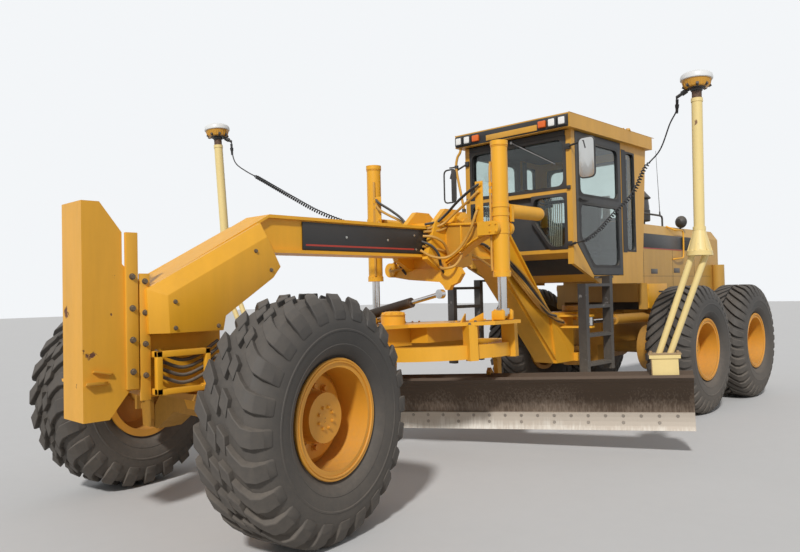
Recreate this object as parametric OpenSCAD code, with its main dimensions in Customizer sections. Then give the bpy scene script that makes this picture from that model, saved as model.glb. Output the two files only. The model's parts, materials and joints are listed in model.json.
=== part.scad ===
/* [Wheels] */
// Outside diameter of every tyre, over the lugs
tyre_d = 1490; // [1300:10:1540]
// Width of every tyre
tyre_w = 520; // [420:10:540]
// Height of the tread lugs
lug_h = 34; // [20:1:50]
// Number of lugs on each shoulder of a tyre
lug_count = 20; // [14:2:24]
// Bead diameter of every rim
rim_d = 635; // [600:5:680]
// Distance from the machine's centre line to the middle of a tyre
tyre_y = 1100; // [1080:5:1160]
// Front axle to the middle of the tandems
wheelbase = 6560; // [6400:10:6700]
// How far the front wheels are turned to the left
steer = 10; // [7:1:12]
// Front to rear wheel of one tandem
tandem_pitch = 1656; // [1600:2:1720]

/* [Front frame] */
// Origin to front axle
front_x = 3785; // [3700:5:3900]
// Width of the box beam's top and bottom plates
beam_w = 305; // [240:5:340]
// Width of the beam between its side plates' outer faces
web_w = 242; // [200:2:280]
// Height of the top face of the beam
beam_top = 2085; // [2060:5:2150]
// Depth of the beam
beam_h = 285; // [240:5:300]
// Thickness of the beam's top and bottom plates
flange_t = 25; // [16:1:30]
// Push block front plate height
push_h = 1350; // [1200:10:1400]
// Push block front plate width
push_w = 300; // [260:5:330]

/* [Blade] */
// Length of the blade
blade_l = 4400; // [4000:20:4500]
// Height of the blade with its edge
blade_h = 610; // [590:2:620]
// How far the blade is tipped forward
blade_tilt = 30; // [26:0.5:32]
// Height of the blade's edge over the ground, in the middle
blade_clear = 152; // [140:2:170]
// Thickness of the blade's plate
blade_t = 25; // [20:1:32]
// Swing of the blade from square
blade_yaw = 24.6; // [15:0.2:28]
// Sideways tilt of the drawbar
drawbar_roll = 2; // [1.8:0.1:2.2]
// How far the blade is shifted to the left
blade_shift = 68; // [50:2:90]
// Outside radius of the turning circle
circle_r = 765; // [720:5:790]

/* [Cab] */
// Width of the cab's walls
cab_w = 1400; // [1340:10:1440]
// Length of the cab at its sill
cab_l = 1560; // [1500:10:1600]
// Height of the cab's roof above ground
cab_top = 3290; // [3250:5:3340]
// Height of the cab's floor
cab_floor = 1560; // [1540:5:1600]
// Diameter of a cab post
post = 70; // [60:2:80]

/* [Hood] */
// Width of the engine hood
hood_w = 1040; // [960:10:1100]
// Height of the hood's top at the cab
hood_top = 2290; // [2250:5:2340]
// Height of the hood's lower edge
hood_low = 1300; // [1260:5:1340]

/* [Masts] */
// Diameter of a mast's tube
mast_d = 88; // [70:2:100]
// Height of a mast's tube top in the blade's frame
mast_top = 3175; // [3100:5:3200]

/* [Hidden] */
$fn = 48;

// Colours of the finishes
yellow = "#d9960f";
black = "#1c1c1e";
steel = "#8d8479";
bright = "#c9ccd0";
rubber = "#2b2a29";
cream = "#ead07a";
clear = [0.6, 0.7, 0.75, 0.35];

// Clearance of a shaft in its bore, and between pieces that lie on each other
fit = 0.3;
// Clearance of a piece that moves past another
run = 8;

// Wheel centres
axle_z = tyre_d / 2;
rear_x = front_x - wheelbase;
rear_front_x = rear_x + tandem_pitch / 2;
rear_back_x = rear_x - tandem_pitch / 2;

// Cables of the two receivers, from the plug to the socket: a fat tube of the curl's outside diameter
cable_d = 36;
left_cable = [
    [360, 1990, 3120], [320, 1970, 3020], [280, 1890, 2920], [250, 1780, 2710], [220, 1620, 2570],
    [180, 1480, 2360], [120, 1260, 2200], [70, 1060, 2050], [30, 900, 1970], [-30, 740, 1950]
];
right_cable = [
    [2230, -2060, 3140], [2230, -2050, 3020], [2220, -2000, 2900], [2200, -1850, 2800], [2170, -1600, 2675],
    [2100, -1200, 2460], [2000, -850, 2270], [1840, -520, 2130], [1600, -320, 2060]
];
plug_d = 24;
plug_l = 60;
// Point at a distance before a, on the line from b through a
function past(a, b, distance) = a + distance * (a - b) / norm(a - b);
// Socket of a cable's far end, a short pipe that ends where the cable begins
module socket(cable, length) {
    n = len(cable);
    rod(past(cable[n - 1], cable[n - 2], length), past(cable[n - 1], cable[n - 2], fit), plug_d);
}

// Cylinder between two points
module rod(a, b, d) {
    v = b - a;
    len = norm(v);
    translate(a)
        rotate([0, acos(v[2] / len), atan2(v[1], v[0])])
            cylinder(d = d, h = len);
}

// Plate cut from a side profile of (x, z) points, from y to y + t
module side_plate(points, y, t) {
    translate([0, y + t, 0])
        rotate([90, 0, 0])
            linear_extrude(t) polygon(points);
}

// Plate cut from a cross profile of (y, z) points, from x to x + t
module cross_plate(points, x, t) {
    translate([x, 0, 0])
        rotate([90, 0, 90])
            linear_extrude(t) polygon(points);
}

// Block between two opposite corners
module block(low, high) {
    translate(low) cube(high - low);
}

// Same piece on the left and on the right
module both_sides() {
    children();
    mirror([0, 1, 0]) children();
}

// Mirrors a left piece to the right
module right_side() {
    mirror([0, 1, 0]) children();
}

// Wheels: the axis of each wheel is along Y
rim_wall = 14;
flange_r = rim_d / 2 + 38;
rim_half = tyre_w * 0.4;
rear_hub_r = 90;
rear_disc_y = -20;
rear_hub_out = 74;
spindle_r = 60;
front_disc_y = 10;
front_hub_out = 110;
lug_half = 46;
lug_long = tyre_w * 0.36;
lug_slant = 22;

module tyre() {
    r = tyre_d / 2;
    w = tyre_w / 2;
    bead = rim_d / 2 + fit;
    seat_r = flange_r + 6;
    crown = r - lug_h;
    reach = lug_half * cos(lug_slant) + lug_long / 2 * sin(lug_slant);
    color(rubber) {
        rotate([90, 0, 0]) rotate_extrude($fn = 64) polygon([
            [bead, -rim_half + 24], [seat_r, -rim_half + 24], [r * 0.60, -w * 0.95], [r * 0.72, -w],
            [r * 0.85, -w * 0.96], [crown, -w * 0.74], [crown, w * 0.74], [r * 0.85, w * 0.96],
            [r * 0.72, w], [r * 0.60, w * 0.95], [seat_r, rim_half - 24], [bead, rim_half - 24]
        ]);
        // Slanted lugs: the lowest one on each side has a corner straight under the axle
        for (i = [0 : lug_count - 1], side = [-1, 1])
            rotate([0, 360 / lug_count * i + side * asin(reach / r), 0])
                translate([0, side * w * 0.40, crown - 6]) rotate([0, 0, side * lug_slant])
                    translate([-lug_half, -lug_long / 2, 0])
                        cube([2 * lug_half, lug_long, sqrt(r * r - reach * reach) - crown + 6]);
    }
}

// Rim with its disc set at disc_y, and a capped hub that stands out from it
hub_cap_t = 22;
module rim(disc_y, hub_r, hub_out, bore_r) {
    r = rim_d / 2;
    color(yellow) rotate([-90, 0, 0]) union() {
        rotate_extrude($fn = 64) polygon([
            [r - rim_wall, -rim_half], [flange_r, -rim_half], [flange_r, -rim_half + 18],
            [r, -rim_half + 18], [r, rim_half - 18], [flange_r, rim_half - 18],
            [flange_r, rim_half], [r - rim_wall, rim_half]
        ]);
        rotate_extrude($fn = 64) polygon([
            [bore_r, disc_y - 12], [r - 60, disc_y - 12], [r - rim_wall + 1, disc_y - 60],
            [r - rim_wall + 1, disc_y - 36], [r - 66, disc_y + 12], [hub_r + 14, disc_y + 12],
            [hub_r, disc_y + 26], [hub_r, disc_y + hub_out], [0, disc_y + hub_out],
            [0, disc_y + hub_out - hub_cap_t], [bore_r, disc_y + hub_out - hub_cap_t]
        ]);
    }
}

module front_wheel_place() {
    translate([front_x, tyre_y, axle_z]) children();
}

module rear_wheel_place(x) {
    translate([x, tyre_y, axle_z]) children();
}

// Front frame: side profile of the box beam, from the bolster back to the hitch
bend_x = front_x - 450;
nose_x = front_x + 500;
nose_z = 1560;
saddle_x = front_x - 2450;
leg_top_x = front_x - 3500;
leg_low_x = front_x - 4730;
leg_low_z = 640;
hitch_x = front_x - 4950;
hitch_top = 1210;
hitch_low = 640;
artic_z = 1110;
artic_front = hitch_x + 350;
artic_front_y = 430;
beam_low = beam_top - beam_h;
bolster_low = 840;
ball_x = front_x - 330;
ball_z = 1050;
ball_r = 55;

front_web = [
    [nose_x, nose_z], [bend_x, beam_top], [leg_top_x, beam_top], [leg_low_x, leg_low_z],
    [leg_low_x + 400, leg_low_z], [leg_top_x + 270, beam_low], [bend_x + 110, beam_low],
    [front_x - 30, 1340], [front_x - 30, bolster_low], [nose_x, bolster_low]
];

module front_frame() {
    color(yellow) {
        difference() {
            union() {
                side_plate(front_web, -web_w / 2, web_w);
                // Top plate of the beam
                side_plate([
                    [nose_x, nose_z], [bend_x, beam_top], [leg_top_x, beam_top],
                    [leg_low_x + 40, leg_low_z + 60], [leg_low_x + 60, leg_low_z + 60],
                    [leg_top_x + 10, beam_top - flange_t], [bend_x + 7, beam_top - flange_t],
                    [nose_x, nose_z - flange_t - 4]
                ], -beam_w / 2, beam_w);
                // Bottom plate of the beam
                side_plate([
                    [leg_low_x + 380, leg_low_z + 30], [leg_top_x + 260, beam_low],
                    [bend_x + 100, beam_low], [bend_x + 100, beam_low + flange_t],
                    [leg_top_x + 240, beam_low + flange_t], [leg_low_x + 350, leg_low_z + 30]
                ], -beam_w / 2, beam_w);
                // Hitch housing, its two lugs and the brackets of the steering cylinders
                side_plate([
                    [leg_low_x, hitch_low], [leg_low_x, hitch_top], [leg_low_x + 470, hitch_top],
                    [leg_low_x + 380, hitch_low]
                ], -150, 300);
                both_sides() for (z = [artic_z - 45 - run - 22, artic_z + 45 + run])
                    translate([0, 0, z]) linear_extrude(22) polygon([
                        [leg_low_x + 20, 140], [artic_front - 60, artic_front_y],
                        [artic_front - 30, artic_front_y + 50],
                        [artic_front + 30, artic_front_y + 50], [artic_front + 60, artic_front_y],
                        [leg_low_x + 300, 140]
                    ]);
                for (z = [hitch_low, hitch_top - 90])
                    translate([0, 0, z]) linear_extrude(90) polygon([
                        [leg_low_x + 2, -200], [hitch_x, -120], [hitch_x, 120], [leg_low_x + 2, 200]
                    ]);
                for (z = [hitch_low, hitch_top - 90])
                    translate([hitch_x, 0, z]) cylinder(r = 120, h = 90);
                // Boss behind the bolster that carries the drawbar's ball
                block([front_x - 120, -110, ball_z - 110], [front_x - 29, 110, ball_z + 110]);
                rod([front_x - 115, 0, ball_z], [ball_x, 0, ball_z], 60);
                translate([ball_x, 0, ball_z]) sphere(ball_r);
                // Ears that hang from the bolster and hold the axle's pin
                for (x = [front_x + 102, front_x - 127])
                    cross_plate([
                        [-110, bolster_low + 20], [-110, 770], [-60, 700], [60, 700],
                        [110, 770], [110, bolster_low + 20]
                    ], x, 25);
            }
            translate([hitch_x, 0, 0]) cylinder(r = hitch_pin_r + fit, h = 3000);
            // Space between the two ears
            block([front_x - 101.5, -160, 690], [front_x + 101.5, 160, 900]);
            translate([front_x - 200, 0, axle_pin_z]) rotate([0, 90, 0])
                cylinder(r = axle_pin_r, h = 400);
        }
        translate([front_x - 128, 0, axle_pin_z]) rotate([0, 90, 0])
            cylinder(r = axle_pin_r, h = 256);
    }
}

// Raised covers and black panels on the beam's sides
cover_t = 118;
module beam_panels() {
    x = front_x;
    both_sides() {
        color(yellow) side_plate([
            [x + 545, 1540], [x + 530, 1252], [x + 30, 1252], [x + 10, 1350],
            [x - 390, 1610], [x - 470, 1690], [x - 350, 1950], [x - 330, 2010]
        ], beam_w / 2 + fit, cover_t);
        color(black) side_plate([
            [x - 770, beam_top - 35], [x - 2230, beam_top - 35],
            [x - 2230, beam_low + 30], [x - 770, beam_low + 30]
        ], web_w / 2 + fit, 12);
    }
}

// Push block: a bent plate box bolted to the front of the bolster
push_low = beam_top - push_h;
push_x = front_x + 930;
module push_block() {
    x = front_x;
    color(yellow) {
        block([push_x - 45, -push_w / 2, push_low], [push_x, push_w / 2, beam_top]);
        both_sides()
            side_plate([
                [push_x - 44, beam_top], [push_x - 110, beam_top], [x + 680, 1900], [x + 680, 1700],
                [x + 548, 1560], [x + 548, 900], [x + 640, 900], [x + 770, push_low], [push_x - 44, push_low]
            ], push_w / 2 - 20, 20);
        for (z = [920, 1300, 1700])
            block([x + 690, -push_w / 2 + 19, z], [push_x - 44, push_w / 2 - 19, z + 16]);
        // Mounting flange against the bolster's face
        block([nose_x + fit, -beam_w / 2, 860], [nose_x + 48, beam_w / 2, 1540]);
    }
}

// Saddle over the beam, with the two lift arms and the link bar under the beam
lift_y = 800;
lift_z = 2030;
trunnion_r = 34;
yoke_in = 84;
yoke_t = 36;
shift_x = saddle_x + 230;
shift_half = 25;
link_t = 50;
link_gap = 68;
link_x = shift_x - shift_half - link_gap - link_t;
link_eye = [shift_x, 280, 1460];
bottle_z = lift_z + 160;
bottle_d = 126;
bottle_back = 590;
module lift_saddle() {
    x = saddle_x;
    w = beam_w / 2;
    color(yellow) {
        both_sides() {
            side_plate([
                [x + 330, beam_low - 20], [x + 200, beam_top + 40], [x + 60, beam_top + 170],
                [x - 120, beam_top + 170], [x - 300, beam_top + 30], [x - 330, beam_low - 60],
                [x, beam_low - 150], [x + 140, beam_low - 120]
            ], w + fit, 60);
            // Pivot boss of the lift arm
            translate([x - 110, w + 55, lift_z + 70]) rotate([-90, 0, 0]) cylinder(r = 130, h = 65);
            translate([x - 110, w + 115, lift_z + 70]) rotate([-90, 0, 0]) cylinder(r = 70, h = 50);
            // Arm out to the yoke round the lift cylinder
            cross_plate([
                [w + 58, lift_z + 90], [w + 58, lift_z - 300], [lift_y - 260, lift_z - 110],
                [lift_y - 130, lift_z - 60], [lift_y - 130, lift_z + 60]
            ], x - 60, 120);
            block([x - yoke_in - yoke_t, lift_y - 170, lift_z - 60],
                  [x + yoke_in + yoke_t, lift_y - 128, lift_z + 60]);
            for (px = [x - yoke_in - yoke_t, x + yoke_in]) difference() {
                union() {
                    block([px, lift_y - 130, lift_z - 60], [px + yoke_t, lift_y, lift_z + 60]);
                    translate([px, lift_y, lift_z]) rotate([0, 90, 0]) cylinder(r = 60, h = yoke_t);
                }
                translate([px - 1, lift_y, lift_z]) rotate([0, 90, 0])
                    cylinder(r = trunnion_r + fit, h = yoke_t + 2);
            }
        }
        // Accumulator bottle behind each lift cylinder, on a plate up from the yoke
        both_sides() {
            block([x - yoke_in - yoke_t, lift_y - 60, lift_z + 59],
                [x - yoke_in, lift_y + 60, bottle_z + 50]);
            rod([x - yoke_in - yoke_t + 1, lift_y, bottle_z], [x - bottle_back, lift_y, bottle_z], bottle_d);
            translate([x - bottle_back, lift_y, bottle_z]) sphere(d = bottle_d);
        }
        // Socket of the right cable
        socket(right_cable, 190);
        // Bridge over the beam, and the cross piece under it
        block([x - 160, -w - 1, beam_top + fit], [x + 120, w + 1, beam_top + 50]);
        block([x - 120, -w - 1, beam_low - 100], [x + 120, w + 1, beam_low - fit]);
        // Link bar, an arched plate across the machine, with the ear that the shift rod reaches
        cross_plate([
            [-460, 1760], [-200, beam_low - 99], [200, beam_low - 99], [420, 1700], [460, 1640], [400, 1560],
            [link_eye[1] + 48, link_eye[2] + 75], [link_eye[1] + 20, link_eye[2] + 35],
            [link_eye[1] - 20, link_eye[2] + 35], [link_eye[1] - 48, link_eye[2] + 75],
            [link_eye[1] - 90, 1570],
            [-200, 1600], [-460, 1640]
        ], link_x, link_t);
        translate([link_x - 20, -430, 1700]) rotate([0, 90, 0]) cylinder(r = 70, h = link_t + 45);
    }
}

// Front axle, an arched beam held by a pin in the bolster's ears
axle_pin_z = 775;
axle_pin_r = 32;
lean_y = 720;
lean_z = 560;
lean_pin_r = 34;
axle_half = 100;
eye_half = 66;
module front_axle() {
    color(yellow) difference() {
        union() {
            for (s = [-1, 1]) scale([1, s, 1]) cross_plate([
                [0, 650], [300, 650], [560, 500], [590, 500], [590, 670], [390, 880], [-1, 880], [-1, 650]
            ], front_x - axle_half, axle_half * 2);
            both_sides() {
                block([front_x - eye_half, 588, 492], [front_x + eye_half, lean_y, 628]);
                translate([front_x - eye_half, lean_y, lean_z]) rotate([0, 90, 0])
                    cylinder(r = 70, h = eye_half * 2);
            }
        }
        both_sides() translate([front_x - 200, lean_y, lean_z]) rotate([0, 90, 0])
            cylinder(r = lean_pin_r + fit, h = 400);
        translate([front_x - 200, 0, axle_pin_z]) rotate([0, 90, 0])
            cylinder(r = axle_pin_r + fit, h = 400);
    }
}

// Lean yoke: hangs on the axle's end and carries the kingpin
king_y = 840;
king_r = 28;
bar_x = front_x + 165;
bar_z = 800;
module lean_yoke() {
    x = front_x;
    color(yellow) {
        difference() {
            union() {
                for (px = [x - eye_half - run - 30, x + eye_half + run])
                    cross_plate([
                        [lean_y - 60, 500], [lean_y + 60, 500], [king_y - 46, 640], [king_y - 46, 830],
                        [lean_y + 40, 850], [lean_y - 50, 850], [lean_y - 75, 560]
                    ], px, 30);
                // Kingpin housing between the two plates
                translate([0, 0, 660]) linear_extrude(170) union() {
                    translate([x, king_y]) circle(46);
                    polygon([
                        [x - eye_half - run - 1, king_y - 100], [x + eye_half + run + 1, king_y - 100],
                        [x + eye_half + run + 1, king_y - 48], [x + 44, king_y], [x - 44, king_y],
                        [x - eye_half - run - 1, king_y - 48]
                    ]);
                }
            }
            translate([x, king_y, 600]) cylinder(r = king_r + fit, h = 300);
        }
        // Lean pin and the stub for the lean bar
        translate([x - eye_half - run - 30, lean_y, lean_z]) rotate([0, 90, 0])
            cylinder(r = lean_pin_r, h = 2 * (eye_half + run + 30));
        translate([x + eye_half + run + 29, lean_y, bar_z]) rotate([0, 90, 0])
            cylinder(r = 20, h = bar_x + 28 - (x + eye_half + run + 29));
    }
}

module lean_bar() {
    color(yellow) difference() {
        union() {
            block([bar_x - 20, -lean_y + 30, bar_z - 22], [bar_x + 20, lean_y - 30, bar_z + 22]);
            both_sides() translate([bar_x - 24, lean_y, bar_z]) rotate([0, 90, 0])
                cylinder(r = 42, h = 48);
        }
        both_sides() translate([bar_x - 60, lean_y, bar_z]) rotate([0, 90, 0])
            cylinder(r = 20 + fit, h = 120);
    }
}

// Knuckle: two ears round the kingpin, the spindle and the steering arm on top
arm_x = front_x - 250;
arm_z = 892;
arm_t = 28;
ball_joint_r = 26;
stud_r = 12;
tie_z = arm_z + 48;
tie_half = 12;
ear_low_z = 612;
ear_high_z = 838;
module knuckle(stud_top) {
    x = front_x;
    color(yellow) {
        difference() {
            union() {
                for (z = [[ear_low_z, 40], [ear_high_z, arm_z - ear_high_z]])
                    translate([0, 0, z[0]]) linear_extrude(z[1]) union() {
                        translate([x, king_y]) circle(55);
                        translate([x - 55, king_y]) square([110, 90]);
                    }
                block([x - 90, king_y + 62, ear_low_z], [x + 90, king_y + 90, arm_z]);
                translate([x, king_y + 89, axle_z]) rotate([-90, 0, 0]) cylinder(r = 95, h = 70);
                // Steering arm
                translate([0, 0, arm_z - arm_t]) linear_extrude(arm_t) polygon([
                    [x - 40, king_y - 38], [arm_x, king_y - 28], [arm_x - 26, king_y - 12],
                    [arm_x - 26, king_y + 12], [arm_x, king_y + 28], [x - 40, king_y + 38]
                ]);
            }
            translate([x, king_y, 600]) cylinder(r = king_r - 1, h = 400);
        }
        translate([x, king_y, ear_low_z - 1]) cylinder(r = king_r, h = arm_z - ear_low_z + 2);
        // Spindle
        translate([x, king_y + 150, axle_z]) rotate([-90, 0, 0])
            cylinder(r = spindle_r,
                h = tyre_y + front_disc_y + front_hub_out - hub_cap_t - 1 - king_y - 150);
        // Stud of the tie rod
        translate([arm_x, king_y, arm_z - 1]) cylinder(r = stud_r, h = tie_z - arm_z + stud_top);
    }
}

// Tie rod: its left ball turns on the steering arm's stud
// Turns a piece about the left (1) or right (-1) king pin
module on_king(side) {
    translate([front_x, side * king_y, 0]) rotate([0, 0, steer]) translate([-front_x, -side * king_y, 0])
        children();
}
// How far the turned arms have carried the tie rod
tie_shift = (arm_x - front_x) * [cos(steer) - 1, sin(steer), 0];

module tie_ball() {
    color(steel) difference() {
        translate([arm_x, king_y, tie_z]) sphere(ball_joint_r);
        translate([arm_x, king_y, tie_z - 40]) cylinder(r = stud_r + fit, h = 40 + 8 + fit);
    }
}

tie_eye_r = 36;
tie_rod_d = 34;
module tie_rod() {
    color(yellow) {
        difference() {
            union() {
                for (s = [-1, 1]) translate([arm_x, s * king_y, tie_z - tie_half])
                    cylinder(r = tie_eye_r, h = 2 * tie_half);
                rod([arm_x, king_y - 30, tie_z], [arm_x, -king_y + 32, tie_z], tie_rod_d);
            }
            translate([arm_x, king_y, tie_z]) sphere(ball_joint_r + fit);
            translate([arm_x, -king_y, tie_z - 50]) cylinder(r = stud_r + 17, h = 100);
        }
    }
}

// Places a piece in the frame of the drawbar, which is tilted sideways about its ball
module on_drawbar() {
    translate([ball_x, 0, ball_z]) rotate([drawbar_roll, 0, 0]) translate([-ball_x, 0, -ball_z]) children();
}

// Where a point of the level drawbar comes to lie when it is tilted
function drawbar_point(p) =
    let (c = cos(drawbar_roll), s = sin(drawbar_roll), h = p[2] - ball_z)
        [p[0], p[1] * c - h * s, ball_z + p[1] * s + h * c];

// Places a piece in the frame of the circle, where the blade runs along Y
circle_x = front_x - 2450;
module on_circle() {
    on_drawbar() translate([circle_x, 0, 0]) rotate([0, 0, blade_yaw]) children();
}

// Ball hitch of the drawbar: two caps, one in the other, round the ball
cap_r = 74;
socket_r = 92;
module half_cap(inner, outer) {
    translate([ball_x, 0, ball_z]) difference() {
        sphere(outer);
        sphere(inner);
        translate([22, -200, -200]) cube(400);
    }
}
module drawbar_ball() { color(steel) half_cap(ball_r + fit, cap_r); }
module drawbar_socket() { color(steel) half_cap(cap_r + fit, socket_r); }

// Drawbar: a tapered box with side wings that the lift rods hold
bar_top_z = 1190;
bar_low_z = 1000;
eye_z = 1245;
eye_r = eye_z - bar_top_z - run;
shift_gap = 12;
shift_pin_r = 9;
shift_ball_r = 28;
shift_base_z = 1262;
shoe_t = 12;
// Height of a lift rod's eye on the tilted drawbar, on the left (1) or right (-1)
function eye_height(side) =
    ball_z + side * lift_y * sin(drawbar_roll) + (eye_z - ball_z) * cos(drawbar_roll);
module drawbar() {
    color(yellow) on_drawbar() {
        difference() {
            union() {
                // Tongue and plate
                translate([0, 0, bar_top_z - 30]) linear_extrude(30) polygon([
                    [ball_x - 150, -90], [circle_x + 560, -190], [circle_x + 430, -560],
                    [circle_x + 250, -900], [circle_x - 130, -900], [circle_x - 330, -560],
                    [circle_x - 420, 0], [circle_x - 330, 560], [circle_x - 130, 900],
                    [circle_x + 250, 900], [circle_x + 430, 560], [circle_x + 560, 190], [ball_x - 150, 90]
                ]);
                for (s = [-1, 1]) scale([1, s, 1]) side_plate([
                    [ball_x - 130, bar_low_z], [circle_x + 420, bar_low_z], [circle_x + 420, bar_top_z - 29],
                    [ball_x - 130, bar_top_z - 29]
                ], 60, 30);
                translate([ball_x - 90, 0, ball_z]) rotate([0, -90, 0]) cylinder(r = 100, h = 60);
                translate([ball_x, 0, ball_z]) difference() {
                    sphere(socket_r + 22);
                    translate([14, -200, -200]) cube(400);
                }
                block([circle_x - 300, -300, bar_low_z + 20], [circle_x + 440, 300, bar_top_z - 29]);
                // Gear housing of the circle's drive
                translate([circle_x + 560, 0, bar_top_z - 1]) cylinder(r = 110, h = 90);
            }
            translate([ball_x, 0, ball_z]) sphere(socket_r + fit);
        }
        // Lugs of the centre shift cylinder
        for (px = [shift_x - shift_half - shift_gap - 20, shift_x + shift_half + shift_gap])
            cross_plate([
                [-860, bar_top_z - 1], [-845, 1290], [-800, 1308], [-755, 1290], [-740, bar_top_z - 1]
            ], px, 20);
        translate([shift_x - shift_half - shift_gap - 10, -800, shift_base_z]) rotate([0, 90, 0])
            cylinder(r = shift_pin_r, h = 2 * (shift_half + shift_gap + 10));
        translate([shift_x, -800, shift_base_z]) sphere(shift_ball_r);
        // Shoes that hold the circle
        for (a = [0, 65, 105, -65, -105]) translate([circle_x, 0, 0]) rotate([0, 0, a])
            side_plate([
                [circle_r - 75, circle_top + fit], [circle_r - 75, bar_top_z - 20],
                [circle_r + 50, bar_top_z - 20],
                [circle_r + 50, circle_top - circle_t - shoe_t],
                [circle_r - 35, circle_top - circle_t - shoe_t],
                [circle_r - 35, circle_top - circle_t - fit], [circle_r + 2, circle_top - circle_t - fit],
                [circle_r + 2, circle_top + fit]
            ], -40, 80);
    }
}

// Lift cylinders
barrel_d = 145;
barrel_low = 1600;
barrel_high = 2800;
lift_rod_d = 78;
module lift_barrel() {
    color(yellow) translate([saddle_x, lift_y, 0]) difference() {
        union() {
            translate([0, 0, barrel_low]) cylinder(d = barrel_d, h = barrel_high - barrel_low);
            translate([0, 0, lift_z - 50]) cylinder(d = barrel_d + 10, h = 100);
            translate([0, 0, barrel_high - 40]) cylinder(d = barrel_d + 12, h = 40);
            translate([-yoke_in - yoke_t, 0, lift_z]) rotate([0, 90, 0])
                cylinder(r = trunnion_r, h = 2 * (yoke_in + yoke_t));
        }
        translate([0, 0, barrel_low - 1])
            cylinder(d = lift_rod_d + 2 * fit, h = barrel_high - barrel_low - 40);
    }
}

lift_rod_top = 2240;
module lift_rod(side) {
    z = eye_height(side);
    color(bright) translate([saddle_x, lift_y, 0]) {
        translate([0, 0, z + 20]) cylinder(d = lift_rod_d, h = lift_rod_top - z - 20);
        translate([0, 0, z]) sphere(eye_r);
        translate([0, 0, z + 2]) cylinder(r = 60, h = 48);
    }
}

// Centre shift cylinder, between the drawbar's right wing and the link bar
shift_base = drawbar_point([shift_x, -800, shift_base_z]);
shift_bore = 44;
module shift_barrel() {
    d = link_eye - shift_base;
    u = d / norm(d);
    color(steel) difference() {
        union() {
            rod(shift_base + 30 * u, shift_base + 95 * u, 42);
            rod(shift_base + 94 * u, shift_base + 740 * u, 96);
            translate(shift_base - [shift_half, 0, 0]) rotate([0, 90, 0])
                cylinder(r = 42, h = 2 * shift_half);
        }
        rod(shift_base + 120 * u, shift_base + 800 * u, shift_bore + 2 * fit);
        translate(shift_base) rotate([0, 90, 0]) sphere(shift_ball_r + fit);
    }
}
module shift_rod() {
    d = link_eye - shift_base;
    u = d / norm(d);
    color(bright) {
        rod(shift_base + 400 * u, link_eye - 30 * u, shift_bore);
        translate(link_eye - [shift_half, 0, 0]) rotate([0, 90, 0]) cylinder(r = 42, h = 2 * shift_half);
    }
}

// Circle with its four arms, the blade's tip frame and the blade
circle_top = bar_low_z - run;
circle_t = 120;
tip_x = -190;
tip_y = 520;
tip_arm_t = 40;
tip_pin_r = 30;
// Blade: a curved plate with its cutting edge, along Y, its face towards +X. The profile is upright,
// with its pivot at [tip_x, pivot_z], and is tipped about that
pivot_z = 470;
blade_low = 102;
edge_t = 20;
face_r = 413;
blade_c = [face_r - 60, blade_low + blade_h * 0.46];
edge_a = 180 + asin((blade_c[1] - blade_low) / (face_r - fit));
top_a = 180 - asin((blade_low + blade_h - blade_c[1]) / (face_r + blade_t));
arc_steps = 16;
edge_x = blade_c[0] + face_r * cos(edge_a);
// Height of the pivot that brings the edge of the tipped blade to blade_clear
tip_z = blade_clear + (edge_x - tip_x) * sin(blade_tilt) + (pivot_z - blade_low) * cos(blade_tilt);
module on_tip() {
    on_circle() translate([tip_x, 0, tip_z]) rotate([0, blade_tilt, 0]) translate([-tip_x, 0, -pivot_z])
        children();
}

module circle_gear() {
    color(yellow) on_circle() {
        translate([0, 0, circle_top - circle_t]) difference() {
            cylinder(r = circle_r, h = circle_t, $fn = 96);
            translate([0, 0, -1]) cylinder(r = circle_r - 130, h = circle_t + 2, $fn = 96);
        }
        // Arms down to the blade's pivots
        difference() {
            for (s = [-1, 1]) scale([1, s, 1]) side_plate([
                [60, circle_top - circle_t + 1], [-340, circle_top - circle_t + 1],
                [tip_x - 90, tip_z - 60], [tip_x + 40, tip_z - 60], [tip_x + 45, tip_z + 60],
                [tip_x + 45, tip_z + 220]
            ], tip_y, tip_arm_t);
            translate([tip_x, -tip_y - 100, tip_z]) rotate([-90, 0, 0])
                cylinder(r = tip_pin_r + fit, h = 2 * tip_y + 200);
        }
    }
}

// Tip frame: two plates with jaws that hold the rails on the blade's back
jaw_t = 36;
jaw_x = -95;
rail_x = -120;
rail_h = 40;
rail_z = [285, 585];
module tip_frame() {
    color(yellow) on_tip() {
        for (s = [-1, 1]) scale([1, s, 1])
            side_plate([
                [-165, rail_z[0] - 35], [jaw_x, rail_z[0] - 35], [jaw_x, rail_z[0] - fit],
                [rail_x - fit, rail_z[0] - fit], [rail_x - fit, rail_z[0] + rail_h + fit],
                [jaw_x, rail_z[0] + rail_h + fit], [jaw_x - 5, rail_z[0] + rail_h + 28], [-135, 400],
                [-135, 530],
                [jaw_x, rail_z[1] - 28], [jaw_x, rail_z[1] - fit],
                [rail_x - fit, rail_z[1] - fit], [rail_x - fit, rail_z[1] + rail_h + fit],
                [jaw_x, rail_z[1] + rail_h + fit], [jaw_x, rail_z[1] + rail_h + 35],
                [-165, rail_z[1] + rail_h + 35], [tip_x - 60, pivot_z + 50], [tip_x - 60, pivot_z - 50]
            ], tip_y - run - jaw_t, jaw_t);
        rod([tip_x, -tip_y - tip_arm_t - 15, pivot_z], [tip_x, tip_y + tip_arm_t + 15, pivot_z],
            2 * tip_pin_r);
    }
}

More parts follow.
